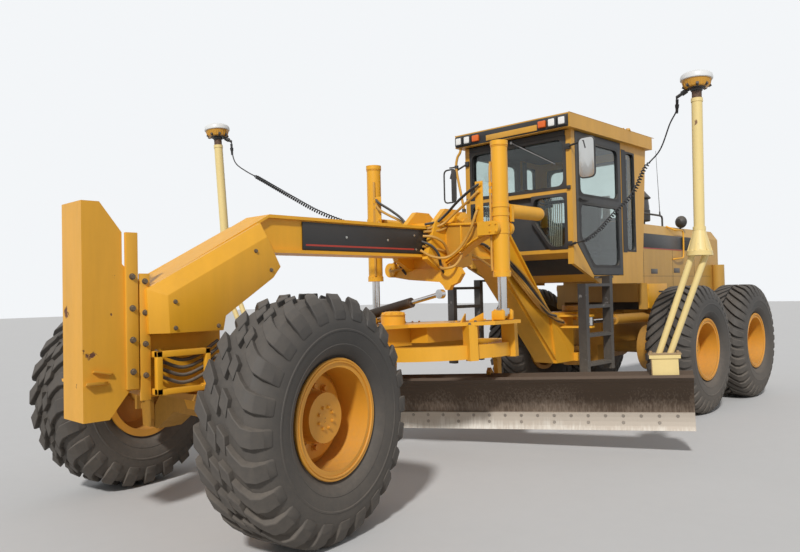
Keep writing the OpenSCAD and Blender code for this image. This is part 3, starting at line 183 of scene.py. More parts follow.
def weathering():
    """Node group: a finish that fades in patches, chips to what is under it and holds dust."""
    group = bpy.data.node_groups.new("weathering", "ShaderNodeTree")
    for name, kind, value in (
        ("Finish", "NodeSocketColor", (0.7, 0.37, 0.05, 1)),
        ("Under", "NodeSocketColor", (0.1, 0.05, 0.03, 1)),
        ("Dust tone", "NodeSocketColor", (0.36, 0.29, 0.21, 1)), ("Fade", "NodeSocketFloat", 0.15),
        ("Chips", "NodeSocketFloat", 0.1), ("Dust", "NodeSocketFloat", 0.3), ("Grain", "NodeSocketFloat", 8),
        ("Sheen", "NodeSocketFloat", 0.4), ("Vector", "NodeSocketVector", (0, 0, 0)),
    ):
        group.interface.new_socket(name, in_out="INPUT", socket_type=kind).default_value = value
    for name, kind in (("Color", "NodeSocketColor"), ("Roughness", "NodeSocketFloat"),
                       ("Height", "NodeSocketFloat")):
        group.interface.new_socket(name, in_out="OUTPUT", socket_type=kind)
    node, link = group.nodes.new, group.links.new
    given, out = node("NodeGroupInput"), node("NodeGroupOutput")

    def noise_at(scale, detail, stretch=(1, 1, 1)):
        spread = node("ShaderNodeMapping")
        spread.inputs["Scale"].default_value = stretch
        link(given.outputs["Vector"], spread.inputs["Vector"])
        made = node("ShaderNodeTexNoise")
        made.inputs["Scale"].default_value = scale
        made.inputs["Detail"].default_value = detail
        made.inputs["Roughness"].default_value = 0.62
        link(spread.outputs["Vector"], made.inputs["Vector"])
        return made

    def maths(kind, a, b=None, clamp=False):
        made = node("ShaderNodeMath")
        made.operation, made.use_clamp = kind, clamp
        for socket, value in zip(made.inputs, (a, b)):
            if isinstance(value, (int, float)):
                socket.default_value = value
            elif value is not None:
                link(value, socket)
        return made.outputs[0]

    def mixed(how, share, a, b):
        made = node("ShaderNodeMix")
        made.data_type, made.blend_type = "RGBA", how
        for socket, value in ((made.inputs[0], share), (made.inputs[6], a), (made.inputs[7], b)):
            if isinstance(value, (int, float, tuple)):
                socket.default_value = value
            else:
                link(value, socket)
        return made.outputs[2]

    patches = noise_at(1.3, 4).outputs["Fac"]
    runs = noise_at(7, 5, (1, 1, 0.12)).outputs["Fac"]
    grain = noise_at(26, 6)
    link(maths("MULTIPLY", given.outputs["Grain"], 3.2), grain.inputs["Scale"])
    flakes = noise_at(5, 9)
    link(given.outputs["Grain"], flakes.inputs["Scale"])
    # Fading: darker and paler patches, and faint vertical runs
    patched = maths("MULTIPLY", maths("SUBTRACT", patches, 0.5), given.outputs["Fade"])
    streaked = maths("MULTIPLY", maths("SUBTRACT", runs, 0.5), given.outputs["Fade"])
    tone = maths("ADD", maths("MULTIPLY", maths("ADD", patched, streaked), 2.2), 1)
    toned = node("ShaderNodeVectorMath")
    toned.operation = "SCALE"
    link(given.outputs["Finish"], toned.inputs[0])
    link(tone, toned.inputs["Scale"])
    # Dust: on faces that look up, and more of it near the ground
    parts = node("ShaderNodeSeparateXYZ")
    link(given.outputs["Vector"], parts.inputs[0])
    facing = node("ShaderNodeNewGeometry")
    ways = node("ShaderNodeSeparateXYZ")
    link(facing.outputs["Normal"], ways.inputs[0])
    low = maths("SUBTRACT", 1, maths("MULTIPLY", parts.outputs["Z"], 0.62, clamp=True), clamp=True)
    lying = maths("MULTIPLY", maths("MAXIMUM", ways.outputs["Z"], 0), 0.75)
    dusty = maths("MULTIPLY", maths("ADD", maths("ADD", low, lying), maths("SUBTRACT", patches, 0.42)),
                  given.outputs["Dust"])
    speckled = maths("MULTIPLY", dusty, maths("ADD", maths("MULTIPLY", grain.outputs["Fac"], 1.1), 0.35),
                     clamp=True)
    dusted = mixed("MIX", speckled, toned.outputs[0], given.outputs["Dust tone"])
    # Chips: small flakes gone, with the edge of the paint standing proud
    limit = maths("SUBTRACT", 0.74, maths("MULTIPLY", given.outputs["Chips"], 0.2))
    chipped = maths("MULTIPLY", maths("SUBTRACT", flakes.outputs["Fac"], limit), 45, clamp=True)
    worn = mixed("MIX", chipped, dusted, given.outputs["Under"])
    link(worn, out.inputs["Color"])
    rough = maths("ADD", given.outputs["Sheen"], maths("MULTIPLY", maths("MAXIMUM", speckled, chipped), 0.4),
                  clamp=True)
    link(maths("ADD", rough, maths("MULTIPLY", maths("SUBTRACT", grain.outputs["Fac"], 0.5), 0.16),
               clamp=True),
         out.inputs["Roughness"])
    link(maths("SUBTRACT", maths("MULTIPLY", grain.outputs["Fac"], 0.25), chipped), out.inputs["Height"])
    return group


weather = weathering()


def finish(name, colour, under=(0.09, 0.045, 0.025), dust_tone=(0.36, 0.29, 0.21), fade=0.12, chips=0.12,
           dust=0.2, grain=8, sheen=0.4, metal=0.0, depth=0.0006, stretch=(1, 1, 1)):
    """A weathered material: its colour, what shows where it chips, and how dusty and glossy it is."""
    made = bpy.data.materials.new(name)
    made.use_nodes = True
    tree = made.node_tree
    shader = tree.nodes["Principled BSDF"]
    shader.inputs["Metallic"].default_value = metal
    where = tree.nodes.new("ShaderNodeTexCoord")
    spread = tree.nodes.new("ShaderNodeMapping")
    spread.inputs["Scale"].default_value = stretch
    worn = tree.nodes.new("ShaderNodeGroup")
    worn.node_tree = weather
    for socket, value in (
        ("Finish", (*colour, 1)), ("Under", (*under, 1)), ("Dust tone", (*dust_tone, 1)), ("Fade", fade),
        ("Chips", chips), ("Dust", dust), ("Grain", grain), ("Sheen", sheen),
    ):
        worn.inputs[socket].default_value = value
    raised = tree.nodes.new("ShaderNodeBump")
    raised.inputs["Distance"].default_value = depth
    tree.links.new(where.outputs["Object"], spread.inputs["Vector"])
    tree.links.new(spread.outputs["Vector"], worn.inputs["Vector"])
    tree.links.new(worn.outputs["Color"], shader.inputs["Base Color"])
    tree.links.new(worn.outputs["Roughness"], shader.inputs["Roughness"])
    tree.links.new(worn.outputs["Height"], raised.inputs["Height"])
    tree.links.new(raised.outputs["Normal"], shader.inputs["Normal"])
    return made


def dress(material, *names):
    """Gives CAD nodes that keep their shape this material."""
    for name in names:
        nodes[name].data.materials.clear()
        nodes[name].data.materials.append(material)


cable_black = finish("cable sheath", (0.010, 0.010, 0.011), dust=0.05, chips=0, sheen=0.45, depth=0.0002)
cable_routes = {"left": (left_route, 0.62, 4.47), "right": (right_route, 0.58, 6.15)}
plug_at = 28
leads = {}
for side, (route, curl_from, lead_length) in cable_routes.items():
    line = eased_route(route)
    curl_to = sum((b - a).length for a, b in zip(line, line[1:])) - curl_end
    lead = tube_curve(f"receiver_lead_{side}", curled(line, curl_from, curl_to), lead_wire / 2)
    lead.data.materials.append(cable_black)
    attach(lead, "blade_body")
    plugs = bmesh.new()
    turned = (line[plug_at + 6] - line[plug_at - 6]).to_track_quat("Z", "Y").to_matrix().to_4x4()
    for shift, radius, long in ((-0.034, 0.013, 0.05), (0.0, 0.018, 0.03), (0.036, 0.013, 0.05)):
        bmesh.ops.create_cone(
            plugs, cap_ends=True, segments=20, radius1=radius, radius2=radius * 0.86, depth=long,
            matrix=Matrix.Translation(line[plug_at]) @ turned @ Matrix.Translation((0, 0, shift)),
        )
    coupler = piece(f"lead_coupler_{side}", plugs, cable_black, "blade_body")
    leads[side] = lead
for lead in leads.values():
    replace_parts(lead, "receiver_cords")

# Floor and light: a pale studio floor, a soft sun from ahead of the machine and an even sky, at a
# level where colours show as they are written. What the camera, metal and glass see of the sky is
# nearly white, and doesn't light the machine.
bpy.context.scene.view_settings.view_transform = "Standard"
floor_data = bmesh.new()
bmesh.ops.create_grid(floor_data, x_segments=1, y_segments=1, size=60)
floor_mesh = bpy.data.meshes.new("floor")
floor_data.to_mesh(floor_mesh)
floor_data.free()
floor = bpy.data.objects.new("floor", floor_mesh)
bpy.context.scene.collection.objects.link(floor)
floor_paint = finish("studio floor", (0.56, 0.55, 0.535), dust=0, chips=0, fade=0.02, sheen=0.85,
                     depth=0.0001)
floor_mesh.materials.append(floor_paint)
sun_data = bpy.data.lights.new("sun", "SUN")
sun_data.energy = 2.8
sun_data.angle = math.radians(5)
sun = bpy.data.objects.new("sun", sun_data)
sun.rotation_euler = Vector((0.70, 0.42, 0.68)).to_track_quat("Z", "Y").to_euler()
bpy.context.scene.collection.objects.link(sun)
sky = bpy.data.worlds.new("sky")
bpy.context.scene.world = sky
sky.use_nodes = True
sky_nodes, sky_links = sky.node_tree.nodes, sky.node_tree.links
sky_light = sky_nodes["Background"]
sky_light.inputs["Color"].default_value = (0.92, 0.95, 1.0, 1)
sky_light.inputs["Strength"].default_value = 0.40
sky_seen = sky_nodes.new("ShaderNodeBackground")
sky_seen.inputs["Color"].default_value = (0.90, 0.92, 0.94, 1)
sky_seen.inputs["Strength"].default_value = 1.0
sky_rays = sky_nodes.new("ShaderNodeLightPath")
sky_pick = sky_nodes.new("ShaderNodeMixShader")
seen = sky_rays.outputs["Is Camera Ray"]
for ray in ("Is Glossy Ray", "Is Transmission Ray"):
    either = sky_nodes.new("ShaderNodeMath")
    either.operation = "MAXIMUM"
    sky_links.new(seen, either.inputs[0])
    sky_links.new(sky_rays.outputs[ray], either.inputs[1])
    seen = either.outputs[0]
sky_links.new(seen, sky_pick.inputs[0])
sky_links.new(sky_light.outputs[0], sky_pick.inputs[1])
sky_links.new(sky_seen.outputs[0], sky_pick.inputs[2])
sky_links.new(sky_pick.outputs[0], sky_nodes["World Output"].inputs[0])

# Tyres: earthmover tyres of black rubber, moulded in one piece. The front pair has deep
# L-shaped lugs that step across the tread, the rear ones slanting bars with narrow grooves.
tread = [(0, 0.745), (0.12, 0.745), (0.177, 0.741), (0.218, 0.708), (0.249, 0.642), (0.2575, 0.598)]
carcass = [(0, 0.711), (0.12, 0.711), (0.166, 0.705), (0.202, 0.679), (0.237, 0.632), (0.252, 0.592)]
sidewall = [
    (0.259, 0.560), (0.260, 0.535), (0.2635, 0.530), (0.2635, 0.522), (0.260, 0.517), (0.257, 0.480),
    (0.247, 0.445), (0.249, 0.440), (0.247, 0.434), (0.232, 0.405), (0.212, 0.385), (0.192, 0.368),
    (0.184, 0.34),
]
rubber = finish("tyre rubber", (0.036, 0.034, 0.032), dust_tone=(0.20, 0.165, 0.13), fade=0.2, chips=0.0,
                dust=0.42, grain=9, sheen=0.62, depth=0.0008)


def surface_at(curve, y):
    """Radius of a tread curve at a distance from the tyre's middle."""
    y = abs(y)
    for (y0, r0), (y1, r1) in zip(curve, curve[1:]):
        if y <= y1:
            return r0 + (r1 - r0) * (y - y0) / (y1 - y0)
    return curve[-1][1]


lug_root = 0.006
lug_draft = 0.86
front_shoulder = [
    (0.074, -9.5, 7.4), (0.12, -5.5, 8.0), (0.177, -1.6, 8.8), (0.218, -0.2, 9.2), (0.249, 0.2, 9.6),
    (0.2575, 0.4, 8.6),
]
front_centre = [(0.004, -17.0, 8.2), (0.066, -12.2, 8.6)]
rear_bar = [
    (0.006, -15.0, 6.6), (0.06, -10.0, 6.8), (0.12, -5.4, 7.2), (0.177, -1.8, 7.4), (0.218, -0.4, 7.4),
    (0.249, 0.3, 7.0), (0.2575, 0.5, 6.0),
]


def lug(mesh, stations):
    """A tread block through stations of (distance from the middle, angle, width in degrees)."""
    loops = []
    for y, angle, width in stations:
        low = surface_at(carcass, y) - lug_root
        high = surface_at(tread, y)
        corners = (
            (low, -width / 2), (low, width / 2), (high, width / 2 * lug_draft),
            (high, -width / 2 * lug_draft),
        )
        verts = []
        for radius, turn in corners:
            t = math.radians(angle + turn)
            verts.append(mesh.verts.new((radius * math.sin(t), y, radius * math.cos(t))))
        loops.append([mesh.edges.new((a, b)) for a, b in zip(verts, verts[1:] + verts[:1])])
    for a, b in zip(loops, loops[1:]):
        bmesh.ops.bridge_loops(mesh, edges=a + b)
    for end in (loops[0], loops[-1]):
        bmesh.ops.contextual_create(mesh, geom=end)


def front_lugs(mesh):
    """One pitch of the front tread: on each side a stepped shoulder lug and a centre block."""
    for side in (1, -1):
        for stations in (front_shoulder, front_centre):
            lug(mesh, [(side * y, side * (angle + 15), width) for y, angle, width in stations])


def rear_lugs(mesh):
    """One pitch of the rear tread: a slanting bar on each side, half a pitch apart."""
    for side, shift in ((1, 0), (-1, 5)):
        lug(mesh, [(side * y, angle + shift, width) for y, angle, width in rear_bar])


def ease_edges(mesh, edges, offset, segments=2):
    """Rounds edges off, as a mould, a grinder or a coat of paint leaves them."""
    bmesh.ops.bevel(
        mesh, geom=edges, offset=offset, offset_type="OFFSET", affect="EDGES", segments=segments,
        profile=0.5, material=-1,
    )


def tyre_mesh(lugs, count):
    """The revolved carcass with its lugs copied round it."""
    mesh = bmesh.new()
    lugs(mesh)
    ease_edges(mesh, [edge for edge in mesh.edges if len(edge.link_faces) == 2], 0.004, segments=1)
    bmesh.ops.spin(
        mesh, geom=mesh.verts[:] + mesh.edges[:] + mesh.faces[:], cent=(0, 0, 0), axis=(0, 1, 0),
        dvec=(0, 0, 0), angle=math.tau * (count - 1) / count, steps=count - 1, use_duplicate=True,
        use_merge=False,
    )
    outer = carcass[1:-1] + [(0.2535, 0.590)] + sidewall
    profile = [(-y, r) for y, r in reversed(outer)] + outer
    revolve(mesh, profile, 96)
    bmesh.ops.recalc_face_normals(mesh, faces=mesh.faces[:])
    return mesh


def on_axle(mesh, body):
    """Moves a mesh made round the Y axis at the origin to a wheel, outer side out."""
    joint = spins[body]
    place, axle = Vector(joint["pos_m"]), Vector(joint["axis"])
    if place.y < 0:
        bmesh.ops.scale(mesh, vec=(1, -1, 1), verts=mesh.verts[:])
        bmesh.ops.reverse_faces(mesh, faces=mesh.faces[:])
    turn = axle.to_track_quat("Y", "Z").to_matrix().to_4x4()
    bmesh.ops.transform(mesh, matrix=Matrix.Translation(place) @ turn, verts=mesh.verts[:])
    return mesh


wheels = {
    "front_wheel_left": "front_tyre_left", "front_wheel_right": "front_tyre_right",
    "rear_wheel_fl": "rear_tyre_fl", "rear_wheel_fr": "rear_tyre_fr",
    "rear_wheel_rl": "rear_tyre_rl", "rear_wheel_rr": "rear_tyre_rr",
}
for body, tyre_node in wheels.items():
    front = body.startswith("front")
    mesh = tyre_mesh(front_lugs, 24) if front else tyre_mesh(rear_lugs, 36)
    tyre = piece(f"lugged_{tyre_node}", on_axle(mesh, body), rubber, body, smooth=24)
    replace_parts(tyre, tyre_node)

# Rims: three-piece disc wheels, rolled and welded steel painted with the machine. Each has a
# lock ring sprung into its outer flange, a ring of wheel nuts and a hub plate.
wheel_yellow = finish("wheel paint", (0.74, 0.32, 0.016), under=(0.20, 0.09, 0.04), chips=0.2, dust=0.30,
                      grain=10, sheen=0.42, dust_tone=(0.30, 0.20, 0.11))
nut_steel = finish("dull bolt steel", (0.16, 0.12, 0.08), chips=0.3, dust=0.4, grain=30, sheen=0.55,
                   metal=0.6)
lock_ring = [
    (0.204, 0.332), (0.213, 0.330), (0.218, 0.334), (0.218, 0.341), (0.212, 0.344), (0.216, 0.348),
    (0.216, 0.357), (0.209, 0.361), (0.196, 0.357), (0.196, 0.336),
]
nut_circle, nut_count = 0.185, 12
hub_circle, hub_count = 0.066, 8


def hexagon(mesh, place, facing, across, high):
    """A bolt or nut head with its washer, standing on a surface."""
    turn = Vector(facing).to_track_quat("Z", "Y").to_matrix().to_4x4()
    at = Matrix.Translation(Vector(place)) @ turn
    bmesh.ops.create_cone(mesh, cap_ends=True, segments=14, radius1=across * 0.72, radius2=across * 0.68,
                          depth=high * 0.3, matrix=at @ Matrix.Translation((0, 0, high * 0.1)))
    bmesh.ops.create_cone(mesh, cap_ends=True, segments=6, radius1=across * 0.56, radius2=across * 0.5,
                          depth=high, matrix=at @ Matrix.Translation((0, 0, high * 0.6)))


def ringed(count, radius, shift=0.0):
    """Places spaced evenly round a circle, as pairs of distances from its middle."""
    turns = [math.tau * (k + shift) / count for k in range(count)]
    return [(radius * math.cos(turn), radius * math.sin(turn)) for turn in turns]


for body in wheels:
    front = body.startswith("front")
    ring = bmesh.new()
    revolve(ring, lock_ring, 96, closed=True)
    bmesh.ops.recalc_face_normals(ring, faces=ring.faces[:])
    piece(f"lock_ring_{body}", on_axle(ring, body), wheel_yellow, body, smooth=40)
    nuts = bmesh.new()
    disc_face = 0.022 if front else -0.008
    cap_face = disc_face + (0.098 if front else 0.062)
    for x, z in ringed(nut_count, nut_circle):
        hexagon(nuts, (x, disc_face, z), (0, 1, 0), 0.034, 0.026)
    for x, z in ringed(hub_count, hub_circle, 0.5):
        hexagon(nuts, (x, cap_face, z), (0, 1, 0), 0.018, 0.012)
    nut_paint = wheel_yellow if front else nut_steel
    piece(f"wheel_nuts_{body}", on_axle(nuts, body), nut_paint, body)
dress(wheel_yellow, "front_rim_left", "front_rim_right", "rear_rim_fl", "rear_rim_fr", "rear_rim_rl",
      "rear_rim_rr")

# Front frame: a welded box beam with the bolster that carries the axle, in the machine's paint,
# which has faded, holds dust on top and is scraped where chains and soil have rubbed it.
machine_yellow = finish("machine yellow", (0.80, 0.385, 0.018), under=(0.13, 0.055, 0.025), chips=0.17,
                        dust=0.17, grain=7, sheen=0.42, dust_tone=(0.34, 0.20, 0.09), fade=0.13)
# A darker copy of the machine's paint for the axle and its linkage, the rear frame and the lower parts:
# painted shade in its colour, with more grime.
shaded_yellow = finish("shaded grimy yellow", (0.56, 0.27, 0.024), under=(0.07, 0.04, 0.025), chips=0.28, dust=0.42,
                       grain=9, sheen=0.5, dust_tone=(0.13, 0.095, 0.06), fade=0.2)
dress(machine_yellow, "front_frame", "drawbar", "circle", "lift_saddle", "lift_barrel_left",
      "lift_barrel_right")
dress(shaded_yellow, "front_axle", "lean_yoke_left", "lean_yoke_right", "lean_bar", "knuckle_left",
      "knuckle_right", "tie_rod", "tip_frame", "rear_frame", "tandem_cases", "artic_barrel_left",
      "artic_barrel_right")


def plate(mesh, outline, offset, edge=0.003):
    """A flat plate: an outline of corner points pushed through by an offset, with eased edges."""
    face = mesh.faces.new([mesh.verts.new(p) for p in outline])
    pushed = bmesh.ops.extrude_face_region(mesh, geom=[face])
    moved = [g for g in pushed["geom"] if isinstance(g, bmesh.types.BMVert)]
    bmesh.ops.translate(mesh, vec=offset, verts=moved)
    edges = list(dict.fromkeys(e for v in moved + list(face.verts) for e in v.link_edges))
    faces = list(dict.fromkeys(f for e in edges for f in e.link_faces))
    bmesh.ops.recalc_face_normals(mesh, faces=faces)
    if edge:
        ease_edges(mesh, edges, edge)


def block(mesh, low, high, edge=0.004, segments=2):
    """A box between two corners with rounded edges."""
    low, high = Vector(low), Vector(high)
    corners = bmesh.ops.create_cube(mesh, size=1)["verts"]
    bmesh.ops.scale(mesh, vec=high - low, verts=corners)
    bmesh.ops.translate(mesh, vec=(low + high) / 2, verts=corners)
    if edge:
        ease_edges(mesh, list(dict.fromkeys(e for v in corners for e in v.link_edges)), edge, segments)


def bar(mesh, a, b, radius, segments=20, end_radius=None):
    """A round bar between two points."""
    a, b = Vector(a), Vector(b)
    turn = (b - a).to_track_quat("Z", "Y").to_matrix().to_4x4()
    bmesh.ops.create_cone(mesh, cap_ends=True, segments=segments, radius1=radius,
                          radius2=radius if end_radius is None else end_radius, depth=(b - a).length,
                          matrix=Matrix.Translation((a + b) / 2) @ turn)


def both_ways(mesh):
    """Mirrors a left-hand mesh to the right as well."""
    bmesh.ops.mirror(mesh, geom=mesh.verts[:] + mesh.edges[:] + mesh.faces[:], axis="Y", merge_dist=-1)
    bmesh.ops.recalc_face_normals(mesh, faces=mesh.faces[:])
    return mesh


def struck(node, start, direction):
    """Where a line meets a CAD node, and the way its surface faces there."""
    found, place, facing, _ = nodes[node].ray_cast(Vector(start), Vector(direction).normalized())
    if not found:
        raise ValueError(f"nothing of {node} from {start}")
    return place, facing


# Side covers: folded sheet steel over the valves on each side of the slope, held by five bolts.
# The front and top flanges slope back to the beam, and the flat middle stands out from it.
front_axle_x = 3.785
cover_root, cover_out = 0.1535, 0.271
cover_base = [(0.545, 1.54), (0.53, 1.252), (0.03, 1.252), (0.01, 1.35), (-0.39, 1.61), (-0.47, 1.69),
              (-0.35, 1.95), (-0.33, 2.01)]
cover_face = [(0.435, 1.497), (0.425, 1.252), (0.03, 1.252), (0.01, 1.35), (-0.39, 1.61), (-0.455, 1.69),
              (-0.352, 1.880), (-0.338, 1.905)]
cover_bolts = [(0.385, 1.455), (0.385, 1.285), (0.07, 1.285), (-0.24, 1.80), (-0.37, 1.665)]
covers = bmesh.new()
foot = covers.faces.new([covers.verts.new((front_axle_x + x, cover_root, z)) for x, z in cover_base])
raised = bmesh.ops.extrude_face_region(covers, geom=[foot])
lifted = [g for g in raised["geom"] if isinstance(g, bmesh.types.BMVert)]
bmesh.ops.translate(covers, vec=(0, 0.05, 0), verts=lifted)
top_face = next(g for g in raised["geom"] if isinstance(g, bmesh.types.BMFace))
raised = bmesh.ops.extrude_face_region(covers, geom=[top_face])
lifted = [g for g in raised["geom"] if isinstance(g, bmesh.types.BMVert)]
for corner in lifted:
    apart = [(front_axle_x + x - corner.co.x) ** 2 + (z - corner.co.z) ** 2 for x, z in cover_base]
    x, z = cover_face[apart.index(min(apart))]
    corner.co = (front_axle_x + x, cover_out, z)
bmesh.ops.recalc_face_normals(covers, faces=covers.faces[:])
ease_edges(covers, covers.edges[:], 0.004)
side_covers = piece("beam_side_covers", both_ways(covers), machine_yellow, "front_body")
cover_heads = bmesh.new()
for x, z in cover_bolts:
    hexagon(cover_heads, (front_axle_x + x, cover_out - 0.001, z), (0, 1, 0), 0.022, 0.012)
piece("cover_bolts", both_ways(cover_heads), nut_steel, "front_body")

# Name panels: black painted sheet in the web of the beam, left bare here, with the machine's
# thin red line along the bottom, two screws in the middle and two at the rear end.
panel_black = finish("panel black", (0.012, 0.012, 0.013), under=(0.2, 0.2, 0.2), chips=0.05, dust=0.16,
                     grain=12, sheen=0.36, fade=0.1)
line_red = finish("red line", (0.42, 0.035, 0.02), chips=0.08, dust=0.15, grain=14, sheen=0.4)
line_low, line_high = 1.862, 1.876
line_rear, line_front = 1.745, 2.985
panels = bmesh.new()
block(panels, (1.555, 0.1213, 1.83), (3.015, 0.1333, 2.05), edge=0.003)
for height in (line_low, line_high):
    bmesh.ops.bisect_plane(panels, geom=panels.verts[:] + panels.edges[:] + panels.faces[:],
                           plane_co=(0, 0, height), plane_no=(0, 0, 1))
for length in (line_rear, line_front):
    bmesh.ops.bisect_plane(panels, geom=panels.verts[:] + panels.edges[:] + panels.faces[:],
                           plane_co=(length, 0, 0), plane_no=(1, 0, 0))
both_ways(panels)
for face in panels.faces:
    middle = face.calc_center_median()
    face.material_index = int(line_low < middle.z < line_high and line_rear < middle.x < line_front)
name_panels = piece("beam_name_panels", panels, panel_black, "front_body")
name_panels.data.materials.append(line_red)
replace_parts(side_covers, "beam_panels")
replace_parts(name_panels, "beam_panels")
screw_steel = finish("bright screw", (0.55, 0.55, 0.52), dust=0.1, chips=0, metal=0.9, sheen=0.3)
panel_screws = bmesh.new()
for x, z in ((2.56, 1.945), (2.08, 1.940), (1.74, 1.995), (1.72, 1.868)):
    hexagon(panel_screws, (x, 0.133, z), (0, 1, 0), 0.015, 0.005)
piece("panel_screws", both_ways(panel_screws), screw_steel, "front_body")

# Push block: a box of thick plate on the bolster's face, its corners knocked bare and rusty,
# held by two rows of bolts through flange bars. A torn lug is bent over near its foot.
push_yellow = finish("battered yellow", (0.76, 0.37, 0.028), under=(0.13, 0.05, 0.028), chips=0.5, dust=0.22,
                     grain=5.5, sheen=0.42, dust_tone=(0.26, 0.15, 0.08), fade=0.16, depth=0.0012)
dress(push_yellow, "push_block")
flanges = bmesh.new()
block(flanges, (4.372, 0.1505, 0.91), (4.452, 0.176, 1.90), edge=0.004)
block(flanges, (4.292, 0.1535, 0.83), (4.362, 0.172, 1.64), edge=0.004)
plate(flanges, [(4.56, 0.150, 0.955), (4.70, 0.150, 0.955), (4.71, 0.19, 0.965), (4.60, 0.185, 0.962)],
      (0, 0.006, 0.018), edge=0.002)
plate(flanges, [(4.53, 0.150, 1.01), (4.66, 0.150, 1.03), (4.66, 0.178, 1.04), (4.55, 0.172, 1.012)],
      (0, 0.004, 0.012), edge=0.002)
piece("push_flanges", both_ways(flanges), push_yellow, "front_body")
flange_heads = bmesh.new()
for z in (1.62, 1.42, 1.22, 1.02):
    hexagon(flange_heads, (4.412, 0.175, z), (0, 1, 0), 0.030, 0.018)
    hexagon(flange_heads, (4.327, 0.171, z - 0.03), (0, 1, 0), 0.028, 0.018)
piece("push_bolts", both_ways(flange_heads), nut_steel, "front_body")

# Valve guard: a frame of welded square tube beside the bolster, in the machine's paint, with the
# front axle's four rubber hoses clipped behind it.
guard = bmesh.new()
for low, high in (
    ((3.90, 0.20, 1.10), (4.28, 0.24, 1.14)), ((3.90, 0.20, 0.86), (4.28, 0.24, 0.895)),
    ((4.245, 0.20, 0.86), (4.285, 0.24, 1.14)), ((3.90, 0.20, 0.86), (3.935, 0.24, 1.14)),
    ((3.90, 0.152, 1.10), (3.94, 0.24, 1.14)), ((4.245, 0.152, 1.10), (4.285, 0.24, 1.14)),
    ((4.245, 0.152, 0.86), (4.285, 0.24, 0.90)), ((3.90, 0.152, 0.86), (3.94, 0.24, 0.90)),
):
    block(guard, low, high, edge=0.004)
piece("valve_guard", both_ways(guard), machine_yellow, "front_body")
hose_black = finish("hose black", (0.015, 0.015, 0.016), dust=0.45, chips=0, sheen=0.5, grain=18)
pipe_yellow = finish("painted pipe", (0.60, 0.31, 0.05), under=(0.06, 0.045, 0.03), chips=0.35, dust=0.4,
                     grain=16, sheen=0.45, dust_tone=(0.2, 0.15, 0.1))


def pipe(name, route, radius, material, body, sides=3):
    """A fixed oil pipe along a smooth line, clipped to what carries it, as a mesh."""
    drawn = tube_curve(name, eased_route(route, 8), radius, sides)
    shaped = bpy.data.meshes.new_from_object(drawn)
    bpy.data.objects.remove(drawn)
    made = bpy.data.objects.new(name, shaped)
    bpy.context.scene.collection.objects.link(made)
    shaped.materials.append(material)
    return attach(made, body)


hands = ((1, "left"), (-1, "right"))
for k in range(4):
    z = 0.93 + 0.05 * k
    for side, name in hands:
        pipe(f"axle_pipe_{k}_{name}", [
            (3.80, side * 0.165, z + 0.10), (3.95, side * 0.185, z + 0.02), (4.08, side * 0.19, z - 0.01),
            (4.20, side * 0.18, z + 0.03), (4.26, side * 0.160, z + 0.06),
        ], 0.012, hose_black, "front_body")

# Saddle: castings bolted over the beam, with the two lift arms. Their pivot bosses are turned,
# capped and ringed with bolts, and oil pipes are bent round them.
saddle_x, lift_y, lift_z = 1.335, 0.80, 2.03
boss_x, boss_y, boss_z = saddle_x - 0.11, 0.268, lift_z + 0.07
boss_circle, yoke_circle = 0.10, 0.045
bosses = bmesh.new()
boss_rings = [
    (0.030, 0.087), (0.032, 0.118), (0.036, 0.118), (0.040, 0.112), (0.046, 0.0655), (0.058, 0.0625),
    (0.060, 0.030), (0.0605, 0.0005),
]
revolve(bosses, [(boss_y + y, r) for y, r in boss_rings], 48)
bmesh.ops.translate(bosses, vec=(boss_x, 0, boss_z), verts=bosses.verts[:])
for x, z in ringed(8, boss_circle):
    hexagon(bosses, (boss_x + x, 0.2695, boss_z + z), (0, 1, 0), 0.022, 0.014)
for way in (-1, 1):
    for y, z in ringed(4, yoke_circle, 0.5):
        yoke_x = saddle_x + way * 0.102 + way * 0.018
        hexagon(bosses, (yoke_x, lift_y + y, lift_z + z), (way, 0, 0), 0.016, 0.010)
piece("saddle_bosses", both_ways(bosses), machine_yellow, "front_body")

# Lift cylinders: honed barrels that hang in the saddle's yokes, with a bolted gland at the foot,
# a rolled cap at the head and an oil pipe up the side. The rods are hard chrome with dust on them.
rod_chrome = finish("dusty chrome", (0.62, 0.61, 0.60), dust_tone=(0.35, 0.29, 0.22), chips=0.0, dust=0.25,
                    grain=40, sheen=0.16, metal=1.0, depth=0.0001)
dress(rod_chrome, "lift_rod_left", "lift_rod_right", "shift_rod", "artic_rod_left", "artic_rod_right")
barrel_r, barrel_low, barrel_high = 0.0725, 1.60, 2.80
gland_circle = 0.0755
bottle_z = 2.19
barrel_bands = (
    (barrel_low, barrel_low + 0.045, barrel_r + 0.007),
    (barrel_low + 0.045, barrel_low + 0.052, barrel_r + 0.002),
    (bottle_z - 0.055, bottle_z - 0.022, barrel_r + 0.006),
    (bottle_z + 0.022, bottle_z + 0.055, barrel_r + 0.006),
    (barrel_high - 0.052, barrel_high - 0.046, barrel_r + 0.004),
    (barrel_high - 0.012, barrel_high, barrel_r + 0.0015),
)
pipe_side = math.radians(46)
pipe_out = 0.0865 * Vector((math.cos(pipe_side), -math.sin(pipe_side), 0))
pipe_climb = ((0.94, 1.655), (1.0, 1.72), (1.0, 2.05), (1.0, 2.30), (1.01, 2.52), (0.94, 2.62))
